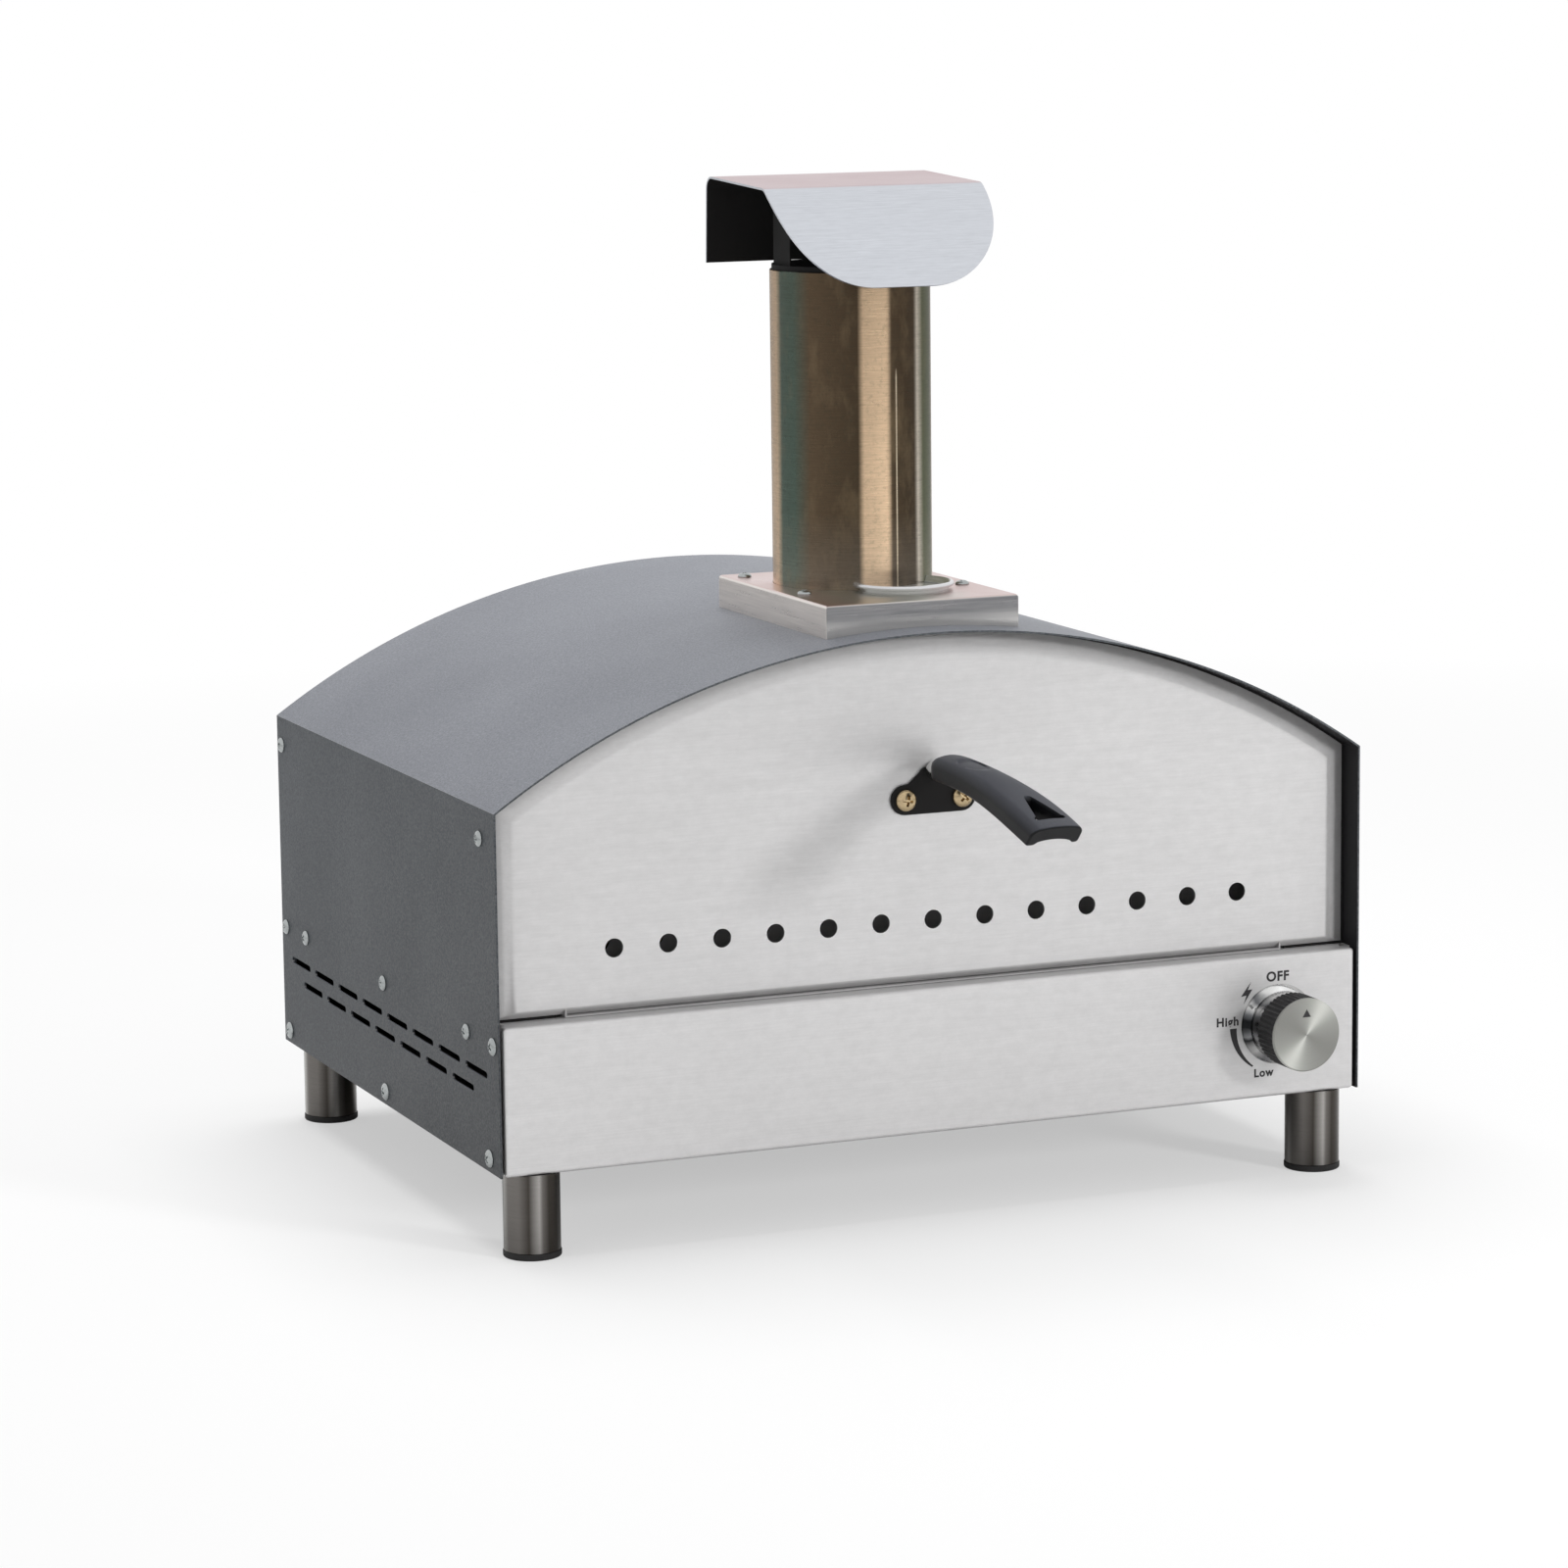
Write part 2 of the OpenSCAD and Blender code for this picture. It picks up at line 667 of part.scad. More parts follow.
module gas_inlet() color("#c9a648") centred() difference() {
    union() {
        rod_y(inlet_x, inlet_z, back_y - 15, back_y + cut, inlet_d / 2);
        translate([inlet_x, back_y, inlet_z]) rotate([-90, 0, 0])
            cylinder(h = inlet_hex_t, r = inlet_hex / sqrt(3), $fn = 6);
        translate([inlet_x, back_y - sheet_t - 5, inlet_z]) rotate([-90, 0, 0])
            cylinder(h = 5, r = inlet_hex / sqrt(3), $fn = 6);
        rod_y(inlet_x, inlet_z, back_y, inlet_end_y, inlet_d / 2);
    }
    rod_y(inlet_x, inlet_z, back_y - 16, inlet_end_y + cut, 3);
    rod_y(inlet_x, inlet_z, back_y - 16, back_y - 14, gas_d / 2);
}

module igniter() color("#e8e6e0") centred() {
    block([igniter_x - igniter_w / 2, valve_front_y, knob_z - igniter_h / 2],
        [igniter_x + igniter_w / 2, igniter_end_y, knob_z + igniter_h / 2]);
    rod_y(igniter_x, knob_z, igniter_end_y, lead_start_y, 1.3 * lead_d);
}

module electrode() color("#f0efe9") centred() {
    z = leg_h + sheet_t;
    translate([spark_x, spark_y, z]) cylinder(h = burner_z + spark_rise - z, r = spark_d / 2);
    translate([spark_x, spark_y, burner_z]) cylinder(h = 1.6 * spark_rise, r = spark_d / 5);
    block([spark_x - spark_d, spark_y - spark_d, z], [spark_x + spark_d, spark_y + spark_d, z + 2 * spark_d]);
}

module ignition_lead() color("#2a2a2a") centred() {
    r = lead_d / 2;
    y0 = lead_start_y + 2 * lead_d;
    y1 = spark_y - spark_d;
    y2 = y1 - 3 * lead_d;
    z = leg_h + sheet_t + r;
    rod_y(igniter_x, knob_z, lead_start_y, y0, r);
    translate([igniter_x, y0, z]) cylinder(h = knob_z - z, r = r);
    rod_y(igniter_x, z, y0, y2, r);
    rod_x(y2, z, spark_x, igniter_x, r);
    rod_y(spark_x, z, y2, y1, r);
    for (p = [[igniter_x, y0, knob_z], [igniter_x, y0, z], [igniter_x, y2, z], [spark_x, y2, z]])
        translate(p) sphere(r = r);
}

// ---- Chimney ----

module chimney_base() color("#bdbab6") centred() difference() {
    block([-base_w / 2, base_y, side_h], [base_w / 2, base_y + base_d, base_top]);
    block([sheet_t - base_w / 2, base_y + sheet_t, side_h - cut],
        [base_w / 2 - sheet_t, base_y + base_d - sheet_t, base_top - sheet_t]);
    rod_y(0, roof_z, front_y, back_y, roof_r);
    translate([0, pipe_y, crown_h]) cylinder(h = 2 * base_rise, r = pipe_r + pipe_gap);
}

module chimney_pipe() color("#b5aa97") centred() translate([0, pipe_y, 0]) difference() {
    translate([0, 0, crown_h - crown_gap - sheet_t])
        cylinder(h = pipe_top - crown_h + crown_gap + sheet_t, r = pipe_r);
    translate([0, 0, side_h]) cylinder(h = pipe_top - side_h + cut, r = pipe_r - pipe_wall);
}

module pipe_clip() color("#dddddd") centred() difference() {
    translate([clip_x, pipe_y - pipe_r - clip_reach + clip_w / 2, base_top]) {
        difference() {
            cylinder(h = clip_h, r = clip_w / 2);
            translate([0, 0, 1.2]) cylinder(h = clip_h, r = clip_w / 2 - 2.2);
        }
    }
    block([-clip_w, pipe_y - pipe_r / 2, 0], [clip_w, back_y, cap_top]);
    translate([0, pipe_y, base_top - cut]) cylinder(h = 2 * clip_h, r = pipe_r + pipe_gap);
}

module cap_collar() color("#1e1e1e") centred() translate([0, pipe_y, pipe_top - collar_in]) difference() {
    cylinder(h = collar_h, r = pipe_r - pipe_wall);
    translate([0, 0, -cut]) cylinder(h = collar_h + 2 * cut, r = pipe_r - pipe_wall - collar_t);
}

module cap_straps() color("#1e1e1e") centred() for (side = [-1, 1]) {
    bore_r = pipe_r - pipe_wall - collar_t;
    x = side * (sqrt(bore_r * bore_r - strap_w * strap_w / 4) - collar_t - run_gap);
    rivet_x = side * (sqrt(bore_r * bore_r - rivet_d * rivet_d / 4) - run_gap);
    difference() {
        block([min(x, x + side * collar_t), pipe_y - strap_w / 2, pipe_top - collar_in + 2],
            [max(x, x + side * collar_t), pipe_y + strap_w / 2, cap_top]);
        tilted() block([-cap_w, front_y, cap_top - cap_t], [cap_w, back_y, cap_top + cap_rise]);
    }
    tilted() block([min(x, x - side * strap_tab), pipe_y - strap_w / 2, cap_top - cap_t - collar_t],
        [max(x, x - side * strap_tab), pipe_y + strap_w / 2, cap_top - cap_t]);
    rod_x(pipe_y, pipe_top - collar_in / 2, min(x - side, rivet_x), max(x - side, rivet_x), rivet_d / 2);
}

// Slopes the cap forward about the top of its rear bend
module tilted() translate([0, cap_rear_y, cap_top]) rotate([cap_tilt, 0, 0])
    translate([0, -cap_rear_y, -cap_top]) children();

// The cap's bent profile (y, z)
module cap_profile() {
    translate([cap_front_y, cap_top - cap_t]) square([cap_flat, cap_t]);
    translate([cap_rear_y, cap_top - cap_bend]) intersection() {
        difference() {
            circle(r = cap_bend);
            circle(r = cap_bend - cap_t);
        }
        square(cap_bend);
    }
    translate([cap_rear_y + cap_bend - cap_t, cap_top - rear_drop]) square([cap_t, rear_drop - cap_bend]);
}

// The front flap's bowed profile (y, z): a thin arc from the front edge of the flat top
module flap_profile() {
    half = asin(flap_chord / 2 / flap_arc);
    mid = flap_dir + 180;
    c = [cap_front_y - flap_reach / 2, cap_top - flap_drop / 2]
        - (flap_arc - flap_bow) * [-sin(flap_dir), cos(flap_dir)];
    translate(c) intersection() {
        difference() {
            circle(r = flap_arc);
            circle(r = flap_arc - cap_t);
        }
        polygon([[0, 0], for (a = [-half, 0, half])
            1.2 * flap_arc * [-sin(flap_dir + a), cos(flap_dir + a)]]);
    }
}

module chimney_cap() color("#bfc3c8") centred() tilted() {
    rail(-cap_w / 2, cap_w / 2) cap_profile();
    intersection() {
        rail(-cap_w / 2, cap_w / 2) flap_profile();
        slab(2 * front_y, back_y) {
            translate([-cap_w / 2, cap_top - flap_drop + flap_r]) square([cap_w, flap_drop]);
            translate([flap_r - cap_w / 2, cap_top - flap_drop]) square([cap_w - 2 * flap_r, flap_drop]);
            for (x = [-1, 1]) translate([x * (cap_w / 2 - flap_r), cap_top - flap_drop + flap_r])
                circle(r = flap_r);
        }
    }
}

module base_screws() color("#d0d0d0") centred()
    for (x = [-1, 1], y = [-1, 1]) translate([x * base_screw_x / 2, pipe_y + y * base_screw_y / 2, base_top])
        pan_head(8, 2.4);

// ---- Legs ----

module leg(x, y) color("#b8b8b6") centred() translate([x, y, foot_h]) difference() {
    cylinder(h = leg_h - foot_h, r = leg_d / 2);
    translate([0, 0, -cut]) cylinder(h = leg_h - foot_h - 2 + cut, r = leg_d / 2 - leg_wall);
}

module foot(x, y) color("#161616") centred() translate([x, y, 0]) {
    cylinder(h = foot_edge, r1 = foot_r - foot_edge, r2 = foot_r);
    translate([0, 0, foot_edge]) cylinder(h = foot_h - foot_edge, r = foot_r);
    cylinder(h = foot_h + foot_plug, r = leg_d / 2 - leg_wall - run_gap);
}

module leg_front_left() leg(-leg_x, leg_front_y);
module leg_front_right() leg(leg_x, leg_front_y);
module leg_rear_left() leg(-leg_x, leg_rear_y);
module leg_rear_right() leg(leg_x, leg_rear_y);
module foot_front_left() foot(-leg_x, leg_front_y);
module foot_front_right() foot(leg_x, leg_front_y);
module foot_rear_left() foot(-leg_x, leg_rear_y);
module foot_rear_right() foot(leg_x, leg_rear_y);

module leg_bolts() color("#a8a8a8") centred() for (x = [-leg_x, leg_x], y = [leg_front_y + 4, leg_rear_y - 8])
    translate([x, y, leg_h + sheet_t]) cylinder(h = 4, r = bolt_w / sqrt(3), $fn = 6);

module screws_left() color("#d0d0d0") centred() side_screws(-1);
module screws_right() color("#d0d0d0") centred() side_screws(1);
module screws_back() color("#d0d0d0") centred() for (i = [-3, -1, 1, 3]) {
    x = i * (body_w / 2 - back_screw_side) / 3;
    translate([x, back_y, roof_z + sqrt(pow(roof_r - back_screw_drop, 2) - x * x)]) rotate([-90, 0, 0])
        pan_head(screw_d, screw_h);
}

// ---- Knob ----

module knob_bezel() color("#cfd2d4") centred() difference() {
    union() {
        translate([knob_x, front_y, knob_z]) rotate([90, 0, 0])
            cylinder(h = bezel_t, r1 = bezel_d / 2, r2 = boss_r + 0.8);
        rod_y(knob_x, knob_z, boss_y, front_y, boss_r);
    }
    rod_y(knob_x, knob_z, boss_y - cut, front_y + cut, stem_d / 2 + 1);
}

module knob_skirt() color("#17181a") centred() difference() {
    union() {
        difference() {
            rod_y(knob_x, knob_z, skirt_front_y, skirt_back_y, knob_r - rib_h);
            rod_y(knob_x, knob_z, skirt_front_y + web_t, skirt_back_y + cut, boss_r + 0.5);
        }
        rod_y(knob_x, knob_z, skirt_front_y, hub_back_y, hub_r);
        for (i = [0 : rib_count - 1]) translate([knob_x, 0, knob_z]) rotate([0, i * 360 / rib_count, 0])
            block([knob_r - rib_h - 0.3, skirt_front_y + 1, -0.7], [knob_r, skirt_back_y - 1, 0.7]);
    }
    rod_y(knob_x, knob_z, stem_front_y, hub_back_y + cut, stem_d / 2);
}

module knob_face() color("#c3c6c4") centred() translate([knob_x, skirt_front_y, knob_z]) rotate([90, 0, 0]) {
    cylinder(h = face_t - 0.6, r = knob_r - 0.1);
    translate([0, 0, face_t - 0.6]) cylinder(h = 0.6, r1 = knob_r - 0.1, r2 = knob_r - 0.9);
}

// ---- Door ----

// The door's bevelled block: a flat face at y0, sloping back to the full outline at y0 + bevel_drop
module door_block(y0) {
    half = wall_x - door_gap;
    edge_r = roof_r - hood_t - door_gap;
    intersection() {
        translate([0, y0 + bevel_drop, roof_z]) rotate([90, 0, 0])
            cylinder(h = bevel_drop, r1 = edge_r, r2 = edge_r - bevel_w, $fn = 360);
        translate([0, 0, door_bottom]) linear_extrude(height = crown_h)
            polygon([[-half, y0 + bevel_drop], [bevel_w - half, y0], [half - bevel_w, y0],
                [half, y0 + bevel_drop]]);
        rail(-half, half) polygon([[y0, crown_h], [y0, door_bottom + bevel_w / 3],
            [y0 + bevel_drop, door_bottom], [y0 + bevel_drop, crown_h]]);
    }
}

module air_holes() for (i = [0 : hole_count - 1])
    rod_y((i - (hole_count - 1) / 2) * hole_pitch, door_bottom + hole_rise, door_y - cut,
        chamber_front + pan_depth, hole_d / 2);

module handle_holes() for (side = [-1, 1])
    rod_y(side * plate_pitch / 2, plate_z, door_y - cut, door_y + 2 * door_t, brass_shank / 2 + 0.1);

module door_sheet() color("#c6c3c0") centred() difference() {
    door_block(door_y);
    door_block(door_y + door_t);
    air_holes();
    handle_holes();
}

module door_pan() color("#85827d") centred() difference() {
    slab(door_y + door_t, door_y + door_t + pan_depth) chamber(-4, floor_top + rest_gap);
    slab(door_y, door_y + pan_depth) chamber(-4 - door_t, floor_top + rest_gap + door_t);
    air_holes();
}

// ---- Handle ----

module handle_plate() color("#1c1d1f") centred() {
    difference() {
        slab(door_y - plate_t, door_y) {
            slot(0, plate_z, plate_w, plate_h);
            polygon([[-hump_foot, plate_z], [-hump_foot, plate_z + plate_h / 2],
                [-hump_half, grip_z + hump_rise], [hump_half, grip_z + hump_rise], [hump_foot, plate_z + plate_h / 2], [hump_foot, plate_z]]);
        }
        for (side = [-1, 1]) rod_y(side * plate_pitch / 2, plate_z, door_y - 2 * plate_t, door_y + cut,
            brass_shank / 2 + 0.1);
    }
    rod_y(0, grip_z, grip_root_y - tang_in, door_y - plate_t / 2, tang_d / 2);
}

module handle_neck() color("#d9d9d7") centred() difference() {
    rod_y(0, grip_z, grip_root_y, neck_y, neck_d / 2);
    rod_y(0, grip_z, grip_root_y - cut, neck_y + cut, tang_d / 2);
}

// Sweeps an outline (distance from the droop's axis, x) along the grip, from its free end to
// short of its root
module grip_sweep_of(short) translate([0, grip_arc_y, grip_arc_z]) rotate([0, -90, 0])
    rotate([0, 0, grip_start - grip_sweep])
        rotate_extrude(angle = grip_sweep - short / grip_arc * 180 / PI, $fn = 360) children();

// The grip's section, with round top edges
module grip_section() {
    soft_rect(grip_arc - grip_h / 2, -grip_w_end / 2, grip_arc + grip_h / 2, grip_w_end / 2, grip_r);
    translate([grip_arc - grip_h / 2, -grip_w_end / 2]) square([grip_h / 2, grip_w_end]);
}

// The slanted cut across the grip's free end
module rake_cut() {
    turn = grip_sweep - grip_start;
    inward = [cos(turn), sin(turn)];
    down = [sin(turn), -cos(turn)];
    top = [grip_arc_y, grip_arc_z] - (grip_arc + grip_h / 2) * down + tip_trim * inward;
    face = grip_h * down + grip_rake * inward;
    away = -(2 * grip_rake + 10) * inward;
    rail(-grip_w_end, grip_w_end)
        polygon([top - 0.5 * face, top + 1.5 * face, top + 1.5 * face + away, top - 0.5 * face + away]);
}

// The hollow along the grip's underside
module hollow_section() {
    hollow_r = (pow(grip_w_root / 2, 2) + pow(grip_hollow, 2)) / (2 * grip_hollow);
    translate([grip_arc - grip_h / 2 + grip_hollow - hollow_r, 0]) circle(r = hollow_r);
}

module handle_grip() color("#222325") centred() difference() {
    intersection() {
        grip_sweep_of(0) grip_section();
        linear_extrude(height = crown_h) polygon([[-grip_w_root / 2, grip_root_y + 2],
            [grip_w_root / 2, grip_root_y + 2], [grip_w_end / 2, grip_tip_y + grip_flare],
            [grip_w_end / 2, grip_tip_y - cut],
            [-grip_w_end / 2, grip_tip_y - cut], [-grip_w_end / 2, grip_tip_y + grip_flare]]);
    }
    rake_cut();
    grip_sweep_of(root_len) hollow_section();
    rod_y(0, grip_z, grip_root_y - tang_in, grip_root_y + 3, tang_d / 2);
    linear_extrude(height = crown_h) polygon([[-hang_w / 2, hang_y + 1.5], [1.5 - hang_w / 2, hang_y],
        [hang_w / 2 - 1.5, hang_y], [hang_w / 2, hang_y + 1.5], [2.5, hang_y + hang_len - 1.5],
        [1, hang_y + hang_len], [-1, hang_y + hang_len], [-2.5, hang_y + hang_len - 1.5]]);
}

module handle_screws() color("#c2a561") centred() for (side = [-1, 1])
    translate([side * plate_pitch / 2, 0, plate_z]) {
        translate([0, door_y - plate_t, 0]) rotate([90, 0, 0]) pan_head(brass_d, brass_h);
        rod_y(0, 0, door_y - plate_t, door_y + door_t + brass_len, brass_shank / 2);
    }

module handle_nuts() color("#a8a8a8") centred() for (side = [-1, 1])
    translate([side * plate_pitch / 2, door_y + door_t, plate_z]) rotate([-90, 0, 0])
        difference() {
            cylinder(h = nut_t, r = nut_w / sqrt(3), $fn = 6);
            translate([0, 0, -cut]) cylinder(h = nut_t + 2 * cut, r = brass_shank / 2);
        }

hood();
back_panel();
base_pan();
control_panel();
oven_floor();
front_frame();
chamber_liner();
chamber_back_wall();
insulation();
stone_tray();
pizza_stone();
flame_guard();
burner();
burner_brackets();
gas_valve();
valve_plug();
valve_stem();
gas_pipe();
gas_inlet();
igniter();
electrode();
ignition_lead();
chimney_base();
chimney_pipe();
pipe_clip();
cap_collar();
cap_straps();
chimney_cap();
base_screws();
leg_front_left();
leg_front_right();
leg_rear_left();
leg_rear_right();
foot_front_left();
foot_front_right();
foot_rear_left();
foot_rear_right();
leg_bolts();
screws_left();
screws_right();
screws_back();
knob_bezel();
knob_skirt();
knob_face();
door_sheet();
door_pan();
handle_plate();
handle_neck();
handle_grip();
handle_screws();
handle_nuts();
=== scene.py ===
import math

import bmesh
import bpy
from mathutils import Matrix, Vector


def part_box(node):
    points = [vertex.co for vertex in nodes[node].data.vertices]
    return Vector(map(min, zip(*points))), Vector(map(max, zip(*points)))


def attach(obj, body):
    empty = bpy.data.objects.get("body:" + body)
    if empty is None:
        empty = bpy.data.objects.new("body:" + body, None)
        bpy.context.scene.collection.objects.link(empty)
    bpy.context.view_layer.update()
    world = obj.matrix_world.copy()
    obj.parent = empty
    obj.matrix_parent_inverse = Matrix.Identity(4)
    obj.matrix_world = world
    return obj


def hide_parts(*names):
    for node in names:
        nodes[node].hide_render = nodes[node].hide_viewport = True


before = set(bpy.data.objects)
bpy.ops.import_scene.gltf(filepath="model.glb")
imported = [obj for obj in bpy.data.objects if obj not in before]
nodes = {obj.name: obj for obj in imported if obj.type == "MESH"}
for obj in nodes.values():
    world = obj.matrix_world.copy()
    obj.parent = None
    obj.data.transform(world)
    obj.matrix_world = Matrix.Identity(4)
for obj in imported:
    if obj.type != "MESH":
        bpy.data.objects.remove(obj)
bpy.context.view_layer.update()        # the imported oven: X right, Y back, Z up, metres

scene = bpy.context.scene
print("frame loaded,", len(nodes), "nodes")


cameraSetup = {
    "lens": 117.93,
    "place": (-1.1587, -2.71643, 0.71538),
    "yaw": 22.3625,        # degrees to the right of straight ahead
    "pitch": 9.3698,       # degrees below the horizon
    "roll": -0.6663,
    "sensor": 36,
    "clipEnd": 60,
}


def makeCamera(setup):
    yaw, pitch, roll = (math.radians(setup[k]) for k in ("yaw", "pitch", "roll"))
    ahead = math.cos(pitch)
    forward = Vector((math.sin(yaw) * ahead, math.cos(yaw) * ahead, -math.sin(pitch)))
    level = Vector((math.cos(yaw), -math.sin(yaw), 0))
    upright = level.cross(forward)
    right = level * math.cos(roll) + upright * math.sin(roll)
    up = upright * math.cos(roll) - level * math.sin(roll)
    data = bpy.data.cameras.new("camera")
    data.lens = setup["lens"]
    data.sensor_width = setup["sensor"]
    data.clip_end = setup["clipEnd"]
    camera = bpy.data.objects.new("camera", data)
    turn = Matrix((right, up, -forward)).transposed().to_4x4()
    camera.matrix_world = Matrix.Translation(setup["place"]) @ turn
    scene.collection.objects.link(camera)
    scene.camera = camera


makeCamera(cameraSetup)


class Wire:        # a socket that can be used in sums
    def __init__(self, finish, socket):
        self.finish = finish
        self.socket = socket

    def sum(self, operation, first, second=0.0, clamp=False):
        settings = {"operation": operation, "use_clamp": clamp}
        return self.finish.add("ShaderNodeMath", settings, {0: first, 1: second})

    def __add__(self, other):
        return self.sum("ADD", self, other)

    def __radd__(self, other):
        return self.sum("ADD", other, self)

    def __sub__(self, other):
        return self.sum("SUBTRACT", self, other)

    def __rsub__(self, other):
        return self.sum("SUBTRACT", other, self)

    def __mul__(self, other):
        return self.sum("MULTIPLY", self, other)

    def __rmul__(self, other):
        return self.sum("MULTIPLY", other, self)

    def __truediv__(self, other):
        return self.sum("DIVIDE", self, other)

    def __rtruediv__(self, other):
        return self.sum("DIVIDE", other, self)

    def __pow__(self, other):
        return self.sum("POWER", self, other)

    def through(self, operation):
        return self.sum(operation, self)

    def turnFrom(self, across):        # the angle of a point around an axis, in radians
        return self.sum("ARCTAN2", self, across)

    def clamped(self):
        return self.sum("ADD", self, 0.0, clamp=True)

    def part(self, axis):
        return self.finish.add("ShaderNodeSeparateXYZ", sockets={0: self}, out="XYZ".index(axis))


class Finish:        # one material and its nodes
    def __init__(self, name):
        self.material = bpy.data.materials.new(name)
        self.material.use_nodes = True
        self.tree = self.material.node_tree
        self.tree.nodes.clear()
        self.skin = self.tree.nodes.new("ShaderNodeBsdfPrincipled")
        output = self.tree.nodes.new("ShaderNodeOutputMaterial")
        self.tree.links.new(self.skin.outputs[0], output.inputs[0])

    def feed(self, node, key, value):
        socket = node.inputs[key] if isinstance(key, int) else next(
            s for s in node.inputs if s.name == key and s.enabled)
        if isinstance(value, Wire):
            self.tree.links.new(value.socket, socket)
        elif isinstance(value, tuple) and socket.type == "RGBA":
            socket.default_value = (*value[:3], 1)
        else:
            socket.default_value = value

    def add(self, kind, settings=None, sockets=None, out=None):
        node = self.tree.nodes.new(kind)
        for key, value in (settings or {}).items():
            if key == "stops":
                self.setStops(node.color_ramp, value)
            else:
                setattr(node, key, value)
        for key, value in (sockets or {}).items():
            self.feed(node, key, value)
        if out is None:
            return Wire(self, next(s for s in node.outputs if s.enabled))
        return Wire(self, node.outputs[out])

    def setStops(self, ramp, stops):
        while len(ramp.elements) < len(stops):
            ramp.elements.new(1)
        for element, (place, colour) in zip(ramp.elements, stops):
            element.position = place
            element.color = (*colour, 1)

    def where(self):
        return self.add("ShaderNodeTexCoord", out="Object")

    def stretch(self, vector, sizes):
        return self.add("ShaderNodeVectorMath", {"operation": "MULTIPLY"}, {0: vector, 1: sizes})

    def shift(self, vector, offset):
        return self.add("ShaderNodeVectorMath", {"operation": "SUBTRACT"}, {0: vector, 1: offset})

    def reach(self, vector):
        return self.add("ShaderNodeVectorMath", {"operation": "LENGTH"}, {0: vector})

    def noise(self, vector, scale, detail=2.0, roughness=0.5):
        return self.add("ShaderNodeTexNoise", sockets={
            "Vector": vector, "Scale": scale, "Detail": detail, "Roughness": roughness}, out=0)

    def grained(self, vector, sizes, detail=2.0, roughness=0.5):        # noise with a frequency for each axis
        return self.noise(self.stretch(vector, sizes), 1.0, detail, roughness)

    def ramp(self, value, tones, streaks):        # streaks holds (place, name of the tone)
        stops = [(place, tones[tone]) for place, tone in streaks]
        return self.add("ShaderNodeValToRGB", {"stops": stops}, {0: value}, out=0)

    def between(self, amount, low, high):
        return self.add("ShaderNodeMapRange", {"clamp": True}, {
            "Value": amount, "From Min": low, "From Max": high}, out=0)

    def mix(self, amount, first, second):
        return self.add("ShaderNodeMix", {"data_type": "RGBA"}, {"Factor": amount, "A": first, "B": second})

    def bump(self, height, strength, distance):
        return self.add("ShaderNodeBump", sockets={
            "Height": height, "Strength": strength, "Distance": distance})

    def facing(self, axis):        # how far the surface faces along an axis of its own piece, from -1 to 1
        return self.add("ShaderNodeTexCoord", out="Normal").part(axis)

    def set(self, sockets):
        for key, value in sockets.items():
            self.feed(self.skin, key, value)
        return self.material


def rgb(red, green, blue):        # a colour given in screen values, made linear
    def line(level):
        level = level / 255
        return level / 12.92 if level < 0.04045 else ((level + 0.055) / 1.055) ** 2.4
    return tuple(line(level) for level in (red, green, blue))


def scaled(colour, share):
    return tuple(level * share for level in colour)


studio = {
    "floorSize": 30.0,
    "floor": rgb(236, 236, 236),
    "shadowReach": (0.5, 2.2),        # where the floor goes from shaded to plain white
    "worldLevel": 0.42,
    "aim": (0, 0, 0.25),
    "lamps": {        # place, size and power
        "key_lamp": ((1.5, -2.7, 1.0), 0.45, 47.0),
        "fill_lamp": ((-2.6, -1.2, 1.2), 1.6, 3.0),
        "top_lamp": ((0.0, 0.6, 2.6), 2.0, 58.0),
    },
}


def makeFloor():
    half = studio["floorSize"] / 2
    mesh = bpy.data.meshes.new("floor")
    corners = [(-half, -half, 0), (half, -half, 0), (half, half, 0), (-half, half, 0)]
    mesh.from_pydata(corners, [], [(0, 1, 2, 3)])
    floor = bpy.data.objects.new("floor", mesh)
    scene.collection.objects.link(floor)
    paint = Finish("floor_paper")
    paint.set({"Base Color": studio["floor"], "Roughness": 0.9, "Specular IOR Level": 0.1})
    seen = paint.add("ShaderNodeLightPath", out="Is Camera Ray")
    light = paint.add("ShaderNodeEmission", sockets={"Color": (1.0, 1.0, 1.0), "Strength": 1.0})
    far = paint.between(paint.reach(paint.where()), *studio["shadowReach"])
    both = paint.add("ShaderNodeMixShader", sockets={
        0: seen * (0.5 + 0.5 * far), 1: Wire(paint, paint.skin.outputs[0]), 2: light})
    output = next(n for n in paint.tree.nodes if n.type == "OUTPUT_MATERIAL")
    paint.tree.links.new(both.socket, output.inputs[0])
    mesh.materials.append(paint.material)


def makeWorld():
    world = bpy.data.worlds.new("studio")
    scene.world = world
    world.use_nodes = True
    tree = world.node_tree
    tree.nodes.clear()
    air = Finish.__new__(Finish)
    air.tree = tree
    path = tree.nodes.new("ShaderNodeLightPath")
    seen = Wire(air, path.outputs["Is Camera Ray"])
    mirrored = Wire(air, path.outputs["Is Glossy Ray"])
    through = Wire(air, path.outputs["Is Transmission Ray"])
    backdrop = (seen + mirrored + through).clamped()
    level = studio["worldLevel"]
    colour = air.mix(backdrop, (level, level, level), (1.0, 1.0, 1.0))
    light = air.add("ShaderNodeBackground", sockets={"Color": colour, "Strength": 1.0})
    output = tree.nodes.new("ShaderNodeOutputWorld")
    tree.links.new(light.socket, output.inputs[0])


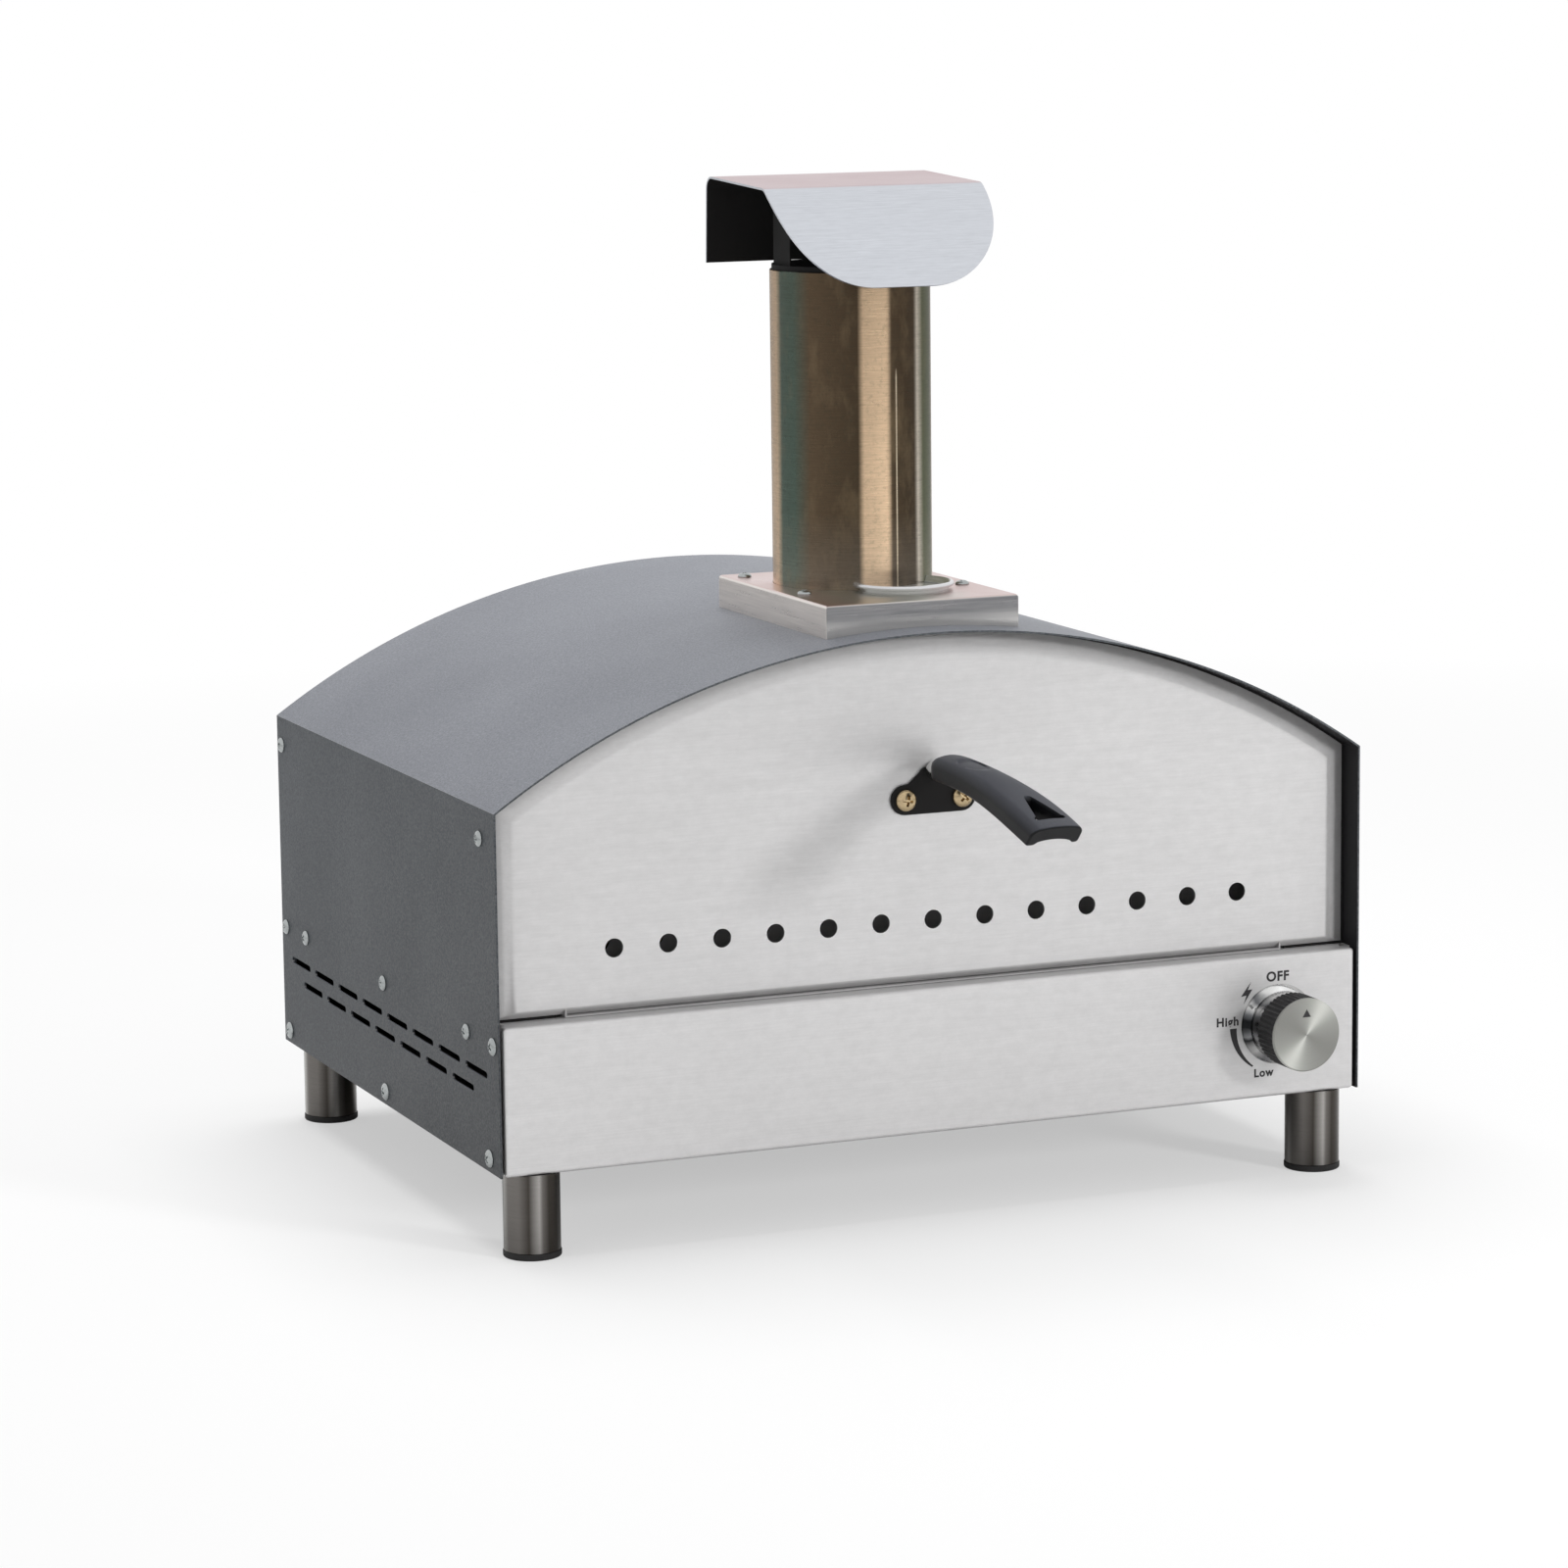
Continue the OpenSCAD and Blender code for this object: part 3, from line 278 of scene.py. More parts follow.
def addLamp(name, place, size, power):
    data = bpy.data.lights.new(name, "AREA")
    data.shape = "RECTANGLE"
    data.size = data.size_y = size
    data.energy = power
    lamp = bpy.data.objects.new(name, data)
    away = Vector(place) - Vector(studio["aim"])
    turn = away.to_track_quat("Z", "Y").to_matrix().to_4x4()
    lamp.matrix_world = Matrix.Translation(place) @ turn
    lamp.visible_glossy = False
    scene.collection.objects.link(lamp)


makeFloor()
makeWorld()
for lampName, lampValues in studio["lamps"].items():
    addLamp(lampName, *lampValues)
scene.view_settings.view_transform = "Standard"
print("studio ready")


def powderCoat(name, side, top):        # satin powder coat with a fine pebbled skin; painted light: paler where it faces up, darker low down and towards the front, with a painted highlight along the eaves fold
    paint = Finish(name)
    where = paint.where()
    grain = paint.noise(where, 900, 3)
    peel = paint.noise(where, 260, 2)
    cloud = paint.noise(where, 7, 3)
    # painted light: faces that look up take the paler top colour, as if lit from above
    up = paint.between(paint.facing("Z"), 0.1, 0.85)
    mottle = paint.between(grain * 0.75 + cloud * 0.25, 0.34, 0.66)
    # painted shade: the side colour darkens towards the bottom and the front
    high = paint.between(where.part("Z") + where.part("Y") * 0.5, 0.0, 0.34)
    base = paint.mix(up, paint.mix(high, scaled(side, 0.62), scaled(side, 1.22)), top)
    base = paint.mix(mottle, base, paint.mix(0.07, base, (1.0, 1.0, 1.0)))
    base = paint.mix((1 - mottle) * 0.3, base, (0.0, 0.0, 0.0))
    tilt = paint.facing("Z")
    eavesHighlight = paint.between(tilt, 0.2, 0.35) * paint.between(tilt, 0.74, 0.62)
    base = paint.mix(eavesHighlight * 0.75, base, rgb(176, 176, 178))        # painted highlight: paler along the fold at the eaves, where the fold catches the light
    return paint.set({
        "Base Color": base,
        "Roughness": 0.42 + 0.12 * grain,
        "Specular IOR Level": 0.2,
        "Normal": paint.bump(grain * 0.6 + peel * 0.4, 0.3, 0.0004)})


def brushed(name, colour, sizes, rough=0.34, contrast=0.07, blotch=0.05, metal=1.0):
    # sizes are the brush lines' frequencies along X, Y and Z: low along the strokes, high across them
    steel = Finish(name)
    where = steel.where()
    fine = steel.grained(where, sizes, 3, 0.6)
    broad = steel.grained(where, scaled(sizes, 0.16), 2)
    cloud = steel.noise(where, 5.5, 4, 0.6)
    strokes = steel.between(fine * 0.65 + broad * 0.35, 0.32, 0.68)
    tone = steel.mix(strokes, scaled(colour, 1 - contrast), scaled(colour, 1 + contrast))
    stain = steel.between(cloud, 0.35, 0.65)
    tone = steel.mix(stain * blotch, tone, scaled(colour, 0.35))
    fleck = steel.between(steel.noise(steel.stretch(where, (1.0, 1.0, 1.6)), 120, 4, 0.75), 0.35, 0.75)
    tone = steel.mix(fleck * 0.16, tone, scaled(colour, 0.5))        # small uneven patches in the sheen
    return steel.set({
        "Base Color": tone,
        "Metallic": metal,
        "Roughness": rough - 0.06 + 0.12 * strokes + 0.05 * cloud,
        "Normal": steel.bump(fine, 0.12, 0.0001)})


def plain(name, colour, rough, metal=0.0, grainSize=900, grainDepth=0.15, spread=0.08, shine=0.5):
    # an even finish with a little grain and colour change
    skin = Finish(name)
    where = skin.where()
    grain = skin.noise(where, grainSize, 3)
    cloud = skin.noise(where, 14, 3)
    mottle = skin.between(grain * 0.4 + cloud * 0.6, 0.3, 0.7)
    return skin.set({
        "Base Color": skin.mix(mottle, scaled(colour, 1 - spread), scaled(colour, 1 + spread)),
        "Metallic": metal,
        "Specular IOR Level": shine,
        "Roughness": rough - 0.05 + 0.1 * grain,
        "Normal": skin.bump(grain, grainDepth, 0.0002)})


steelTone = scaled((1.0, 0.99, 0.992), 0.63)
pipeLow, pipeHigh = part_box("chimney_pipe")
pipeMiddle = (pipeLow + pipeHigh) / 2
pipeAxis = Matrix.Translation((pipeMiddle.x, pipeMiddle.y, 0))
boxLow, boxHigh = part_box("chimney_base")
knobLow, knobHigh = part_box("knob_face")
knobMiddle = (knobLow + knobHigh) / 2

# painted light: the second colour is the roof's lit tone, paler than the sides
hoodPaint = powderCoat("hood_paint", rgb(66, 71, 76), rgb(122, 125, 133))
# painted shade: the inside of the hood and back panel is near black, standing in for the shade inside the
# oven
hoodInsideShade = plain("hood_inside_painted_shade", rgb(24, 24, 26), 0.6, spread=0.15, shine=0.25)
mattBlack = plain("matt_black", rgb(20, 19, 19), 0.75, spread=0.2, shine=0.25)
doorSteel = brushed("door_steel", steelTone, (60, 1100, 900), contrast=0.05, metal=0.45, rough=0.34)
panelSteel = brushed("panel_steel", scaled(steelTone, 1.06), (34, 1200, 1000),
                     contrast=0.05, metal=0.6, rough=0.42)
plainSteel = brushed("plain_steel", scaled(steelTone, 0.8), (30, 700, 700), rough=0.42)
shelfSteel = brushed("shelf_steel", scaled(steelTone, 1.1), (9, 900, 900), rough=0.5, metal=0.55)
sootedSteel = brushed("sooted_steel", scaled(steelTone, 0.8), (9, 900, 900),
                      rough=0.5, blotch=0.3, metal=0.5)
brightSteel = plain("bright_steel", rgb(200, 200, 198), 0.18, metal=1.0, grainDepth=0.05, spread=0.04)
screwSteel = plain("screw_steel", rgb(168, 172, 172), 0.24, metal=1.0, grainDepth=0.1, spread=0.14)
yellowZinc = plain("yellow_zinc", rgb(186, 166, 132), 0.22, metal=1.0, grainDepth=0.08, spread=0.3)
brass = plain("brass", rgb(200, 160, 86), 0.3, metal=1.0, grainDepth=0.08)
copper = plain("copper", rgb(196, 118, 82), 0.32, metal=1.0, grainDepth=0.08, spread=0.12)
ceramic = plain("glazed_ceramic", rgb(232, 228, 218), 0.2, grainDepth=0.05, spread=0.03)
blackRubber = plain("black_rubber", rgb(26, 25, 25), 0.7, grainSize=500, grainDepth=0.3, spread=0.15)
skirtPlastic = plain("skirt_plastic", rgb(8, 8, 10), 0.36, grainSize=1600, grainDepth=0.2, shine=0.2)
clipSteel = plain("clip_steel", rgb(216, 216, 218), 0.22, metal=0.75, grainDepth=0.05, spread=0.06)
markInk = plain("mark_ink", rgb(38, 36, 38), 0.6)


def cordierite():        # pale refractory stone with dark and light specks
    stone = Finish("cordierite")
    where = stone.where()
    speck = stone.add("ShaderNodeTexVoronoi", sockets={"Vector": where, "Scale": 420.0}, out="Distance")
    grain = stone.noise(where, 700, 4, 0.7)
    cloud = stone.noise(where, 16, 3)
    tone = stone.mix(cloud, rgb(205, 184, 150), rgb(222, 205, 174))
    tone = stone.mix(stone.between(speck, 0.22, 0.1) * 0.7, tone, rgb(150, 124, 92))
    return stone.set({
        "Base Color": tone,
        "Roughness": 0.85 + 0.1 * grain,
        "Normal": stone.bump(grain, 0.5, 0.0005)})


def fibreBlanket():        # matted ceramic fibre
    wool = Finish("fibre_blanket")
    where = wool.where()
    bend = wool.noise(where, 30, 4)
    strands = wool.grained(where, (90.0, 500.0, 500.0), 5, 0.7)
    mat = wool.between(strands * 0.7 + bend * 0.3, 0.3, 0.7)
    return wool.set({
        "Base Color": wool.mix(mat, rgb(196, 190, 176), rgb(232, 228, 218)),
        "Roughness": 0.95,
        "Normal": wool.bump(mat, 0.8, 0.001)})


tintAndReflectionTones = {        # heat tint on stainless steel, together with painted reflections
    "straw": rgb(228, 198, 164), "pale": rgb(232, 222, 206), "bronze": rgb(104, 88, 70),
    "umber": rgb(78, 66, 52), "olive": rgb(102, 108, 78), "teal": rgb(92, 108, 98)}


def heatTintAndReflection():        # brushed pipe steel with long streaks running up it: partly heat tint, partly painted reflections
    steel = Finish("heat_tint_and_reflection_steel")
    where = steel.shift(steel.where(), tuple(pipeMiddle))
    around = where.part("Y").turnFrom(where.part("X")) / (2 * math.pi) + 0.5
    wander = steel.grained(where, (16.0, 16.0, 4.0), 2)
    rise = where.part("Z")
    # painted reflections and heat tint: light and dark streaks set by the angle round the pipe
    tintAndReflection = steel.ramp(around + (wander - 0.5) * 0.008, tintAndReflectionTones, [
        (0.0, "straw"), (0.02, "teal"), (0.06, "teal"), (0.1, "bronze"), (0.2, "umber"), (0.21, "straw"),
        (0.26, "straw"), (0.27, "umber"), (0.33, "umber"), (0.34, "pale"), (0.36, "olive"), (0.4, "olive"),
        (0.42, "pale"), (0.5, "bronze"), (0.6, "straw"), (0.75, "olive"), (0.94, "bronze"), (0.95, "straw")])
    warm = steel.between(rise, 0.0, 0.11) * (0.4 + 0.6 * wander)
    foot = steel.between(rise, -0.02, -0.10)
    tintAndReflection = steel.mix(warm * 0.25, tintAndReflection, rgb(78, 60, 46))
    tintAndReflection = steel.mix(foot * 0.3, tintAndReflection, rgb(198, 190, 178))
    paleLine = steel.between((around - 0.28).through("ABSOLUTE"), 0.0022, 0.0008)        # a thin pale line
    tintAndReflection = steel.mix(paleLine * steel.between(rise, 0.062, 0.056) * 0.8, tintAndReflection, rgb(222, 206, 180))
    strokes = steel.grained(where, (60.0, 60.0, 1500.0), 3, 0.6)
    blotch = steel.grained(where, (60.0, 60.0, 26.0), 4, 0.7)
    tintAndReflection = steel.mix(steel.between(strokes, 0.35, 0.7) * 0.22, tintAndReflection, rgb(52, 44, 36))
    tintAndReflection = steel.mix(steel.between(blotch, 0.5, 0.75) * 0.24, tintAndReflection, rgb(158, 138, 108))
    fleck = steel.grained(where, (300.0, 300.0, 420.0), 4, 0.75)
    tintAndReflection = steel.mix(steel.between(fleck, 0.52, 0.72) * 0.3, tintAndReflection, rgb(62, 66, 56))
    return steel.set({
        "Base Color": tintAndReflection,
        "Metallic": 1.0,
        "Roughness": 0.2 + 0.1 * strokes + 0.08 * blotch,
        "Normal": steel.bump(strokes, 0.12, 0.0001)})


legReflectionTones = {"pale": rgb(206, 203, 199), "grey": rgb(138, 134, 130), "dark": rgb(82, 77, 72)}


def tubeSteel():        # polished leg tube with painted reflections: long light and dark streaks, drawn round each leg's own axis
    steel = Finish("tube_steel")
    where = steel.where()
    wander = steel.grained(where, (40.0, 40.0, 12.0), 2)
    around = where.part("Y").turnFrom(where.part("X")) / (2 * math.pi) + 0.5
    tone = steel.ramp(around + (wander - 0.5) * 0.016, legReflectionTones, [
        (0.0, "pale"), (0.04, "grey"), (0.12, "grey"), (0.18, "dark"), (0.24, "pale"), (0.26, "grey"),
        (0.3, "dark"), (0.36, "dark"), (0.5, "pale"), (0.6, "grey"), (0.7, "pale"), (0.8, "grey"),
        (1.0, "pale")])
    strokes = steel.grained(where, (60.0, 60.0, 1300.0), 3, 0.6)
    # painted reflection: the streaks are darkened by about half, a little more along the brush strokes
    deep = steel.mix(0.3, rgb(30, 29, 28), tone)
    tone = steel.mix(0.5 + steel.between(strokes, 0.3, 0.7) * 0.12, tone, deep)
    return steel.set({
        "Base Color": tone,
        "Metallic": 1.0,
        "Roughness": 0.18 + 0.1 * strokes,
        "Normal": steel.bump(strokes, 0.1, 0.0001)})


bezelReflectionTones = {
    "white": rgb(242, 242, 242), "pale": rgb(206, 206, 205), "grey": rgb(140, 141, 143),
    "dark": rgb(90, 91, 94), "black": rgb(30, 31, 33)}


def polishedBezel():        # polished ring with painted reflections: bright over the top, dark low on one side
    ring = Finish("polished_bezel")
    where = ring.shift(ring.where(), tuple(knobMiddle))
    around = where.part("Z").turnFrom(where.part("X")) / (2 * math.pi) + 0.5
    wander = ring.noise(where, 120, 2)
    tone = ring.ramp(around + (wander - 0.5) * 0.05, bezelReflectionTones, [
        (0.0, "black"), (0.04, "grey"), (0.06, "black"), (0.12, "pale"), (0.17, "grey"), (0.25, "pale"),
        (0.55, "grey"), (0.65, "pale"), (0.75, "white"), (0.82, "pale"), (0.87, "dark"), (0.9, "pale"),
        (0.94, "dark"), (0.97, "black")])
    return ring.set({
        "Base Color": tone,
        "Metallic": 1.0,
        "Roughness": 0.12 + 0.06 * wander,
        "Normal": ring.bump(wander, 0.06, 0.0001)})


def baseSteel():        # brushed box steel with painted reflections: pale grey turning pink on the top, and a darker front, paler low down
    steel = Finish("base_steel")
    where = steel.where()
    strokes = steel.between(steel.grained(where, (24.0, 24.0, 900.0), 3, 0.6), 0.3, 0.7)
    flat = steel.between(steel.grained(where, (12.0, 1500.0, 12.0), 3, 0.6), 0.3, 0.7)
    up = steel.between(steel.facing("Z"), 0.6, 0.95)
    # painted reflection: front faces take a darker tone in their upper part, paler low down
    front = steel.between(steel.facing("Y"), -0.6, -0.95)
    rise = steel.between(where.part("Z"), boxLow.z, boxHigh.z)
    tone = steel.mix(strokes, rgb(214, 208, 204), rgb(230, 224, 219))
    deep = steel.mix(steel.between(rise, 0.25, 0.6), rgb(190, 189, 188), rgb(118, 119, 122))
    tone = steel.mix(front * (0.85 + 0.15 * strokes), tone, deep)
    # painted reflection on the top: grey near the pipe, pink further out
    reflectionMiddle = (pipeMiddle.x - 0.012, pipeMiddle.y - 0.062, boxHigh.z)
    reach = steel.reach(steel.stretch(steel.shift(where, reflectionMiddle), (1.0, 0.7, 0.0)))
    reflectionSpread = steel.between(reach + (steel.noise(where, 30, 2) - 0.5) * 0.02, 0.026, 0.05)
    pink = steel.mix(steel.noise(where, 22, 3), rgb(220, 200, 198), rgb(190, 158, 154))
    paintedTopReflection = steel.mix(reflectionSpread, rgb(186, 186, 178), pink)
    tone = steel.mix(up * (0.85 + 0.15 * flat), tone, paintedTopReflection)
    return steel.set({
        "Base Color": tone,
        "Metallic": 1.0,
        "Roughness": 0.26 + 0.1 * strokes,
        "Normal": steel.bump(strokes * (1 - up) + flat * up, 0.1, 0.0001)})


def capSteel():        # cool brushed sheet with a painted rosy reflection on the flat top
    steel = Finish("cap_steel")
    where = steel.where()
    fine = steel.grained(where, (40.0, 1300.0, 1300.0), 4, 0.7)
    scratch = steel.grained(where, (120.0, 900.0, 600.0), 2)
    strokes = steel.between(fine * 0.7 + scratch * 0.3, 0.34, 0.66)
    up = steel.between(steel.facing("Z"), 0.9, 0.985)
    tone = steel.mix(strokes, rgb(199, 202, 208), rgb(215, 218, 224))
    # painted reflection: a rosy tone on the flat top
    paintedTopReflection = steel.mix(steel.noise(where, 18, 3), rgb(206, 190, 192), rgb(184, 158, 162))
    tone = steel.mix(up, tone, paintedTopReflection)
    return steel.set({
        "Base Color": tone,
        "Metallic": 1.0,
        "Roughness": 0.3 + 0.14 * strokes,
        "Normal": steel.bump(strokes, 0.14, 0.0001)})


def spunFace():        # turned knob face: fine rings and a painted highlight wedge across it
    face = Finish("spun_face")
    where = face.shift(face.where(), tuple(knobMiddle))
    across, up = where.part("X"), where.part("Z")
    turn = up.turnFrom(across)
    reach = (across * across + up * up).through("SQRT")
    grooves = face.add("ShaderNodeCombineXYZ", sockets={0: reach * 5200, 1: turn * 0.4})
    rings = face.noise(grooves, 1.0, 3, 0.7)
    # painted highlight: a pale wedge set by the angle round the knob, brightest at two opposite sides
    soft = 0.5 + 0.5 * ((turn - math.radians(56)) * 2).through("COSINE")
    tone = face.mix(soft, rgb(140, 140, 136), rgb(168, 169, 164))
    tone = face.mix(soft ** 9 * 0.8, tone, rgb(220, 221, 215))
    tone = face.mix(face.between(rings, 0.3, 0.7) * 0.12, tone, rgb(110, 112, 110))
    return face.set({
        "Base Color": tone,
        "Metallic": 1.0,
        "Roughness": 0.3 + 0.12 * rings,
        "Normal": face.bump(rings, 0.15, 0.0001)})


def gripPlastic():        # satin moulded plastic with a painted highlight: paler where it faces up
    skin = Finish("grip_plastic")
    where = skin.where()
    grain = skin.noise(where, 1500, 3)
    # painted highlight: faces that look up are paler and bluer, as if they caught the light above
    up = skin.between(skin.facing("Z"), 0.1, 0.98)
    tone = skin.mix(up, rgb(5, 5, 7), rgb(60, 62, 69))
    tone = skin.mix(skin.between(grain, 0.35, 0.65) * 0.3, tone, rgb(26, 27, 30))
    return skin.set({
        "Base Color": tone,
        "Specular IOR Level": 0.2,
        "Roughness": 0.36 + 0.1 * grain,
        "Normal": skin.bump(grain, 0.3, 0.0002)})


cordieriteStone = cordierite()
gripSkin = gripPlastic()
fibreWool = fibreBlanket()
pipeSteel = heatTintAndReflection()
legTubeSteel = tubeSteel()
bezelSteel = polishedBezel()
boxSteel = baseSteel()
capOutside = capSteel()
knobFaceSteel = spunFace()
print("finishes ready")


def addPiece(name, bm, materials, body, replaced=(), place=(0, 0, 0)):
    mesh = bpy.data.meshes.new(name)
    bm.to_mesh(mesh)
    bm.free()
    piece = bpy.data.objects.new(name, mesh)
    piece.location = place
    scene.collection.objects.link(piece)
    for material in materials:
        mesh.materials.append(material)
    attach(piece, body)
    if replaced:
        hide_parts(*replaced)
    return piece


def addSolid(name, bm, material, body, replaced=(), place=(0, 0, 0)):        # closed, in one finish
    bmesh.ops.recalc_face_normals(bm, faces=bm.faces)
    return addPiece(name, bm, [material], body, replaced, place)


def bakeModifiers(piece):
    bpy.context.view_layer.update()
    depsgraph = bpy.context.evaluated_depsgraph_get()
    finished = bpy.data.meshes.new_from_object(piece.evaluated_get(depsgraph))
    old = piece.data
    piece.modifiers.clear()
    piece.data = finished
    finished.name = old.name
    bpy.data.meshes.remove(old)


def thicken(piece, thickness, backMaterial=0):
    shell = piece.modifiers.new("sheet", "SOLIDIFY")
    shell.thickness = thickness
    shell.offset = -1
    shell.use_even_offset = True
    shell.material_offset = backMaterial
    bakeModifiers(piece)


def carve(piece, cutters):        # cuts a bmesh of closed shapes out of a piece
    mesh = bpy.data.meshes.new("cutter")
    bmesh.ops.recalc_face_normals(cutters, faces=cutters.faces)
    cutters.to_mesh(mesh)
    cutters.free()
    cutter = bpy.data.objects.new("cutter", mesh)
    scene.collection.objects.link(cutter)
    cut = piece.modifiers.new("cut", "BOOLEAN")
    cut.operation = "DIFFERENCE"
    cut.solver = "EXACT"
    cut.object = cutter
    bakeModifiers(piece)
    bpy.data.objects.remove(cutter)
    bpy.data.meshes.remove(mesh)


def softenEdges(piece, width, segments=2, angle=35):
    soft = piece.modifiers.new("soft", "BEVEL")
    soft.width = width
    soft.segments = segments
    soft.limit_method = "ANGLE"
    soft.angle_limit = math.radians(angle)
    bakeModifiers(piece)


def shade(piece, angle=30):        # smooth shading that keeps the flat faces flat
    piece.data.shade_smooth()
    piece.data.set_sharp_from_angle(angle=math.radians(angle))
    flat = piece.modifiers.new("flat_faces", "WEIGHTED_NORMAL")
    flat.weight = 100
    flat.keep_sharp = True


def faceTowards(bm, direction):        # turns a whole open sheet so that its front faces that way
    bmesh.ops.recalc_face_normals(bm, faces=bm.faces)
    bm.normal_update()
    lean = sum((f.normal.dot(Vector(direction)) * f.calc_area() for f in bm.faces), 0.0)
    if lean < 0:
        bmesh.ops.reverse_faces(bm, faces=bm.faces)


def loft(bm, rings, closedRing=True, closedLoft=False, capStart=False, capEnd=False):
    rows = [[bm.verts.new(p) for p in ring] for ring in rings]
    count = len(rows[0])
    pairs = list(zip(rows, rows[1:]))
    if closedLoft:
        pairs.append((rows[-1], rows[0]))
    for first, second in pairs:
        for i in range(count if closedRing else count - 1):
            j = (i + 1) % count
            bm.faces.new((first[i], first[j], second[j], second[i]))
    if capStart:
        bm.faces.new(rows[0])
    if capEnd:
        bm.faces.new(rows[-1])
    return rows


def turned(bm, profile, frameMatrix, segments=64, ripple=None, closed=True):
    # profile holds (radius, height) points; the axis is the matrix's own Z
    rings = []
    for radius, height in profile:
        ring = []
        for i in range(segments):
            angle = 2 * math.pi * i / segments
            reach = radius + (ripple(radius, height, angle) if ripple else 0)
            ring.append(frameMatrix @ Vector((reach * math.cos(angle), reach * math.sin(angle), height)))
        rings.append(ring)
    loft(bm, rings, closedLoft=closed, capStart=not closed, capEnd=not closed)


def axisAt(place, direction):        # a matrix that puts +Z along a direction
    return Matrix.Translation(place) @ Vector(direction).to_track_quat("Z", "X").to_matrix().to_4x4()


def drill(cutters, radius, low, high, axis, segments=64):        # a round cutter along the axis
    turned(cutters, [(radius, low), (radius, high)], axis, segments, closed=False)


def turnedPiece(name, profile, axis, segments, material, body, replaced,
                angle=40, ripple=None, place=(0, 0, 0)):
    bm = bmesh.new()
    turned(bm, profile, axis, segments, ripple)
    shade(addSolid(name, bm, material, body, replaced, place), angle)


def roundOver(radius, angles):        # how far a rounded edge comes in and drops, at each angle in degrees
    turns = [math.radians(a) for a in angles]
    return [(radius * (1 - math.cos(t)), radius * (1 - math.sin(t))) for t in turns]


def prism(bm, outline, along, start, end):        # a flat outline pushed along X, Y or Z
    def at(a, b, c):
        return {"X": (c, a, b), "Y": (a, c, b), "Z": (a, b, c)}[along]
    loft(bm, [[at(a, b, start) for a, b in outline], [at(a, b, end) for a, b in outline]],
         capStart=True, capEnd=True)


def arc(centre, radius, start, end, steps):        # points on an arc, angles in degrees
    return [(centre[0] + radius * math.cos(math.radians(start + (end - start) * i / steps)),
             centre[1] + radius * math.sin(math.radians(start + (end - start) * i / steps)))
            for i in range(steps + 1)]


def softBox(low, high, radius, steps=6):        # outline of a rectangle with round corners
    return (arc((high[0] - radius, low[1] + radius), radius, -90, 0, steps)
            + arc((high[0] - radius, high[1] - radius), radius, 0, 90, steps)
            + arc((low[0] + radius, high[1] - radius), radius, 90, 180, steps)
            + arc((low[0] + radius, low[1] + radius), radius, 180, 270, steps))


def slotOutline(x, y, length, height, steps=10):
    run = (length - height) / 2
    return arc((x + run, y), height / 2, -90, 90, steps) + arc((x - run, y), height / 2, 90, 270, steps)


hoodLow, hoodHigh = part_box("hood")
hoodMiddleY = (hoodLow.y + hoodHigh.y) / 2
hoodShape = {
    "sideTop": 0.250,
    "sheet": 0.0012,
    "fold": 0.0016,
    "edge": 0.0003,
    "ventLength": 0.0366,
    "ventHeight": 0.0040,
    "ventPitch": 0.0464,
    "upperVents": (8, 0.1017),        # how many, and how high
    "lowerVents": (7, 0.0900),
    "pipeHole": 0.0462,
    "rows": 8,
}
halfWidth = hoodHigh.x
archRise = hoodHigh.z - hoodShape["sideTop"]
roofRadius = (halfWidth ** 2 + archRise ** 2) / (2 * archRise)
roofCentre = hoodHigh.z - roofRadius


def archPoints(half, radius, steps=72):        # the roof's curve from right to left, cut off at +-half
    reach = math.degrees(math.asin(half / radius))
    return arc((0, roofCentre), radius, 90 - reach, 90 + reach, steps)


def archLoop(inset, bottom, sideInset=0.0, steps=72):
    half = halfWidth - inset - sideInset
    return [(-half, bottom), (half, bottom)] + archPoints(half, roofRadius - inset, steps)


def ventCutters(bm, count, height, along, start, end, middleAt):
    for i in range(count):
        at = middleAt + (i - (count - 1) / 2) * hoodShape["ventPitch"]
        outline = slotOutline(at, height, hoodShape["ventLength"], hoodShape["ventHeight"])
        prism(bm, outline, along, start, end)


def makeHood():
    outline = archLoop(0, hoodLow.z)
    outline = outline[1:] + outline[:1]        # right foot, over the roof, left foot
    bm = bmesh.new()
    count = hoodShape["rows"]
    rows = [hoodLow.y + (hoodHigh.y - hoodLow.y) * i / count for i in range(count + 1)]
    loft(bm, [[(x, y, z) for x, z in outline] for y in rows], closedRing=False)
    corners = [e for e in bm.edges if not e.is_boundary and e.calc_face_angle(0) > math.radians(20)]
    bmesh.ops.bevel(bm, geom=corners, offset=hoodShape["fold"], segments=4, profile=0.5, affect="EDGES")
    faceTowards(bm, (0, 0, 1))
    hood = addPiece("hood_skin", bm, [hoodPaint, hoodInsideShade], "oven", ["hood"])
    thicken(hood, hoodShape["sheet"], backMaterial=1)
    cutters = bmesh.new()
    for count, height in (hoodShape["upperVents"], hoodShape["lowerVents"]):
        ventCutters(cutters, count, height, "X", -1.0, 1.0, hoodMiddleY)
    drill(cutters, hoodShape["pipeHole"], 0.28, 0.4, pipeAxis)
    carve(hood, cutters)
    softenEdges(hood, hoodShape["edge"], 2, 50)
    shade(hood, 28)


makeHood()


backLow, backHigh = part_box("back_panel")
inletLow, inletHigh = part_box("gas_inlet")
backShape = {
    "fold": 0.0016,
    "sheet": 0.0012,
    "vents": (9, 0.1017),
    "inletHole": 0.0070,
}


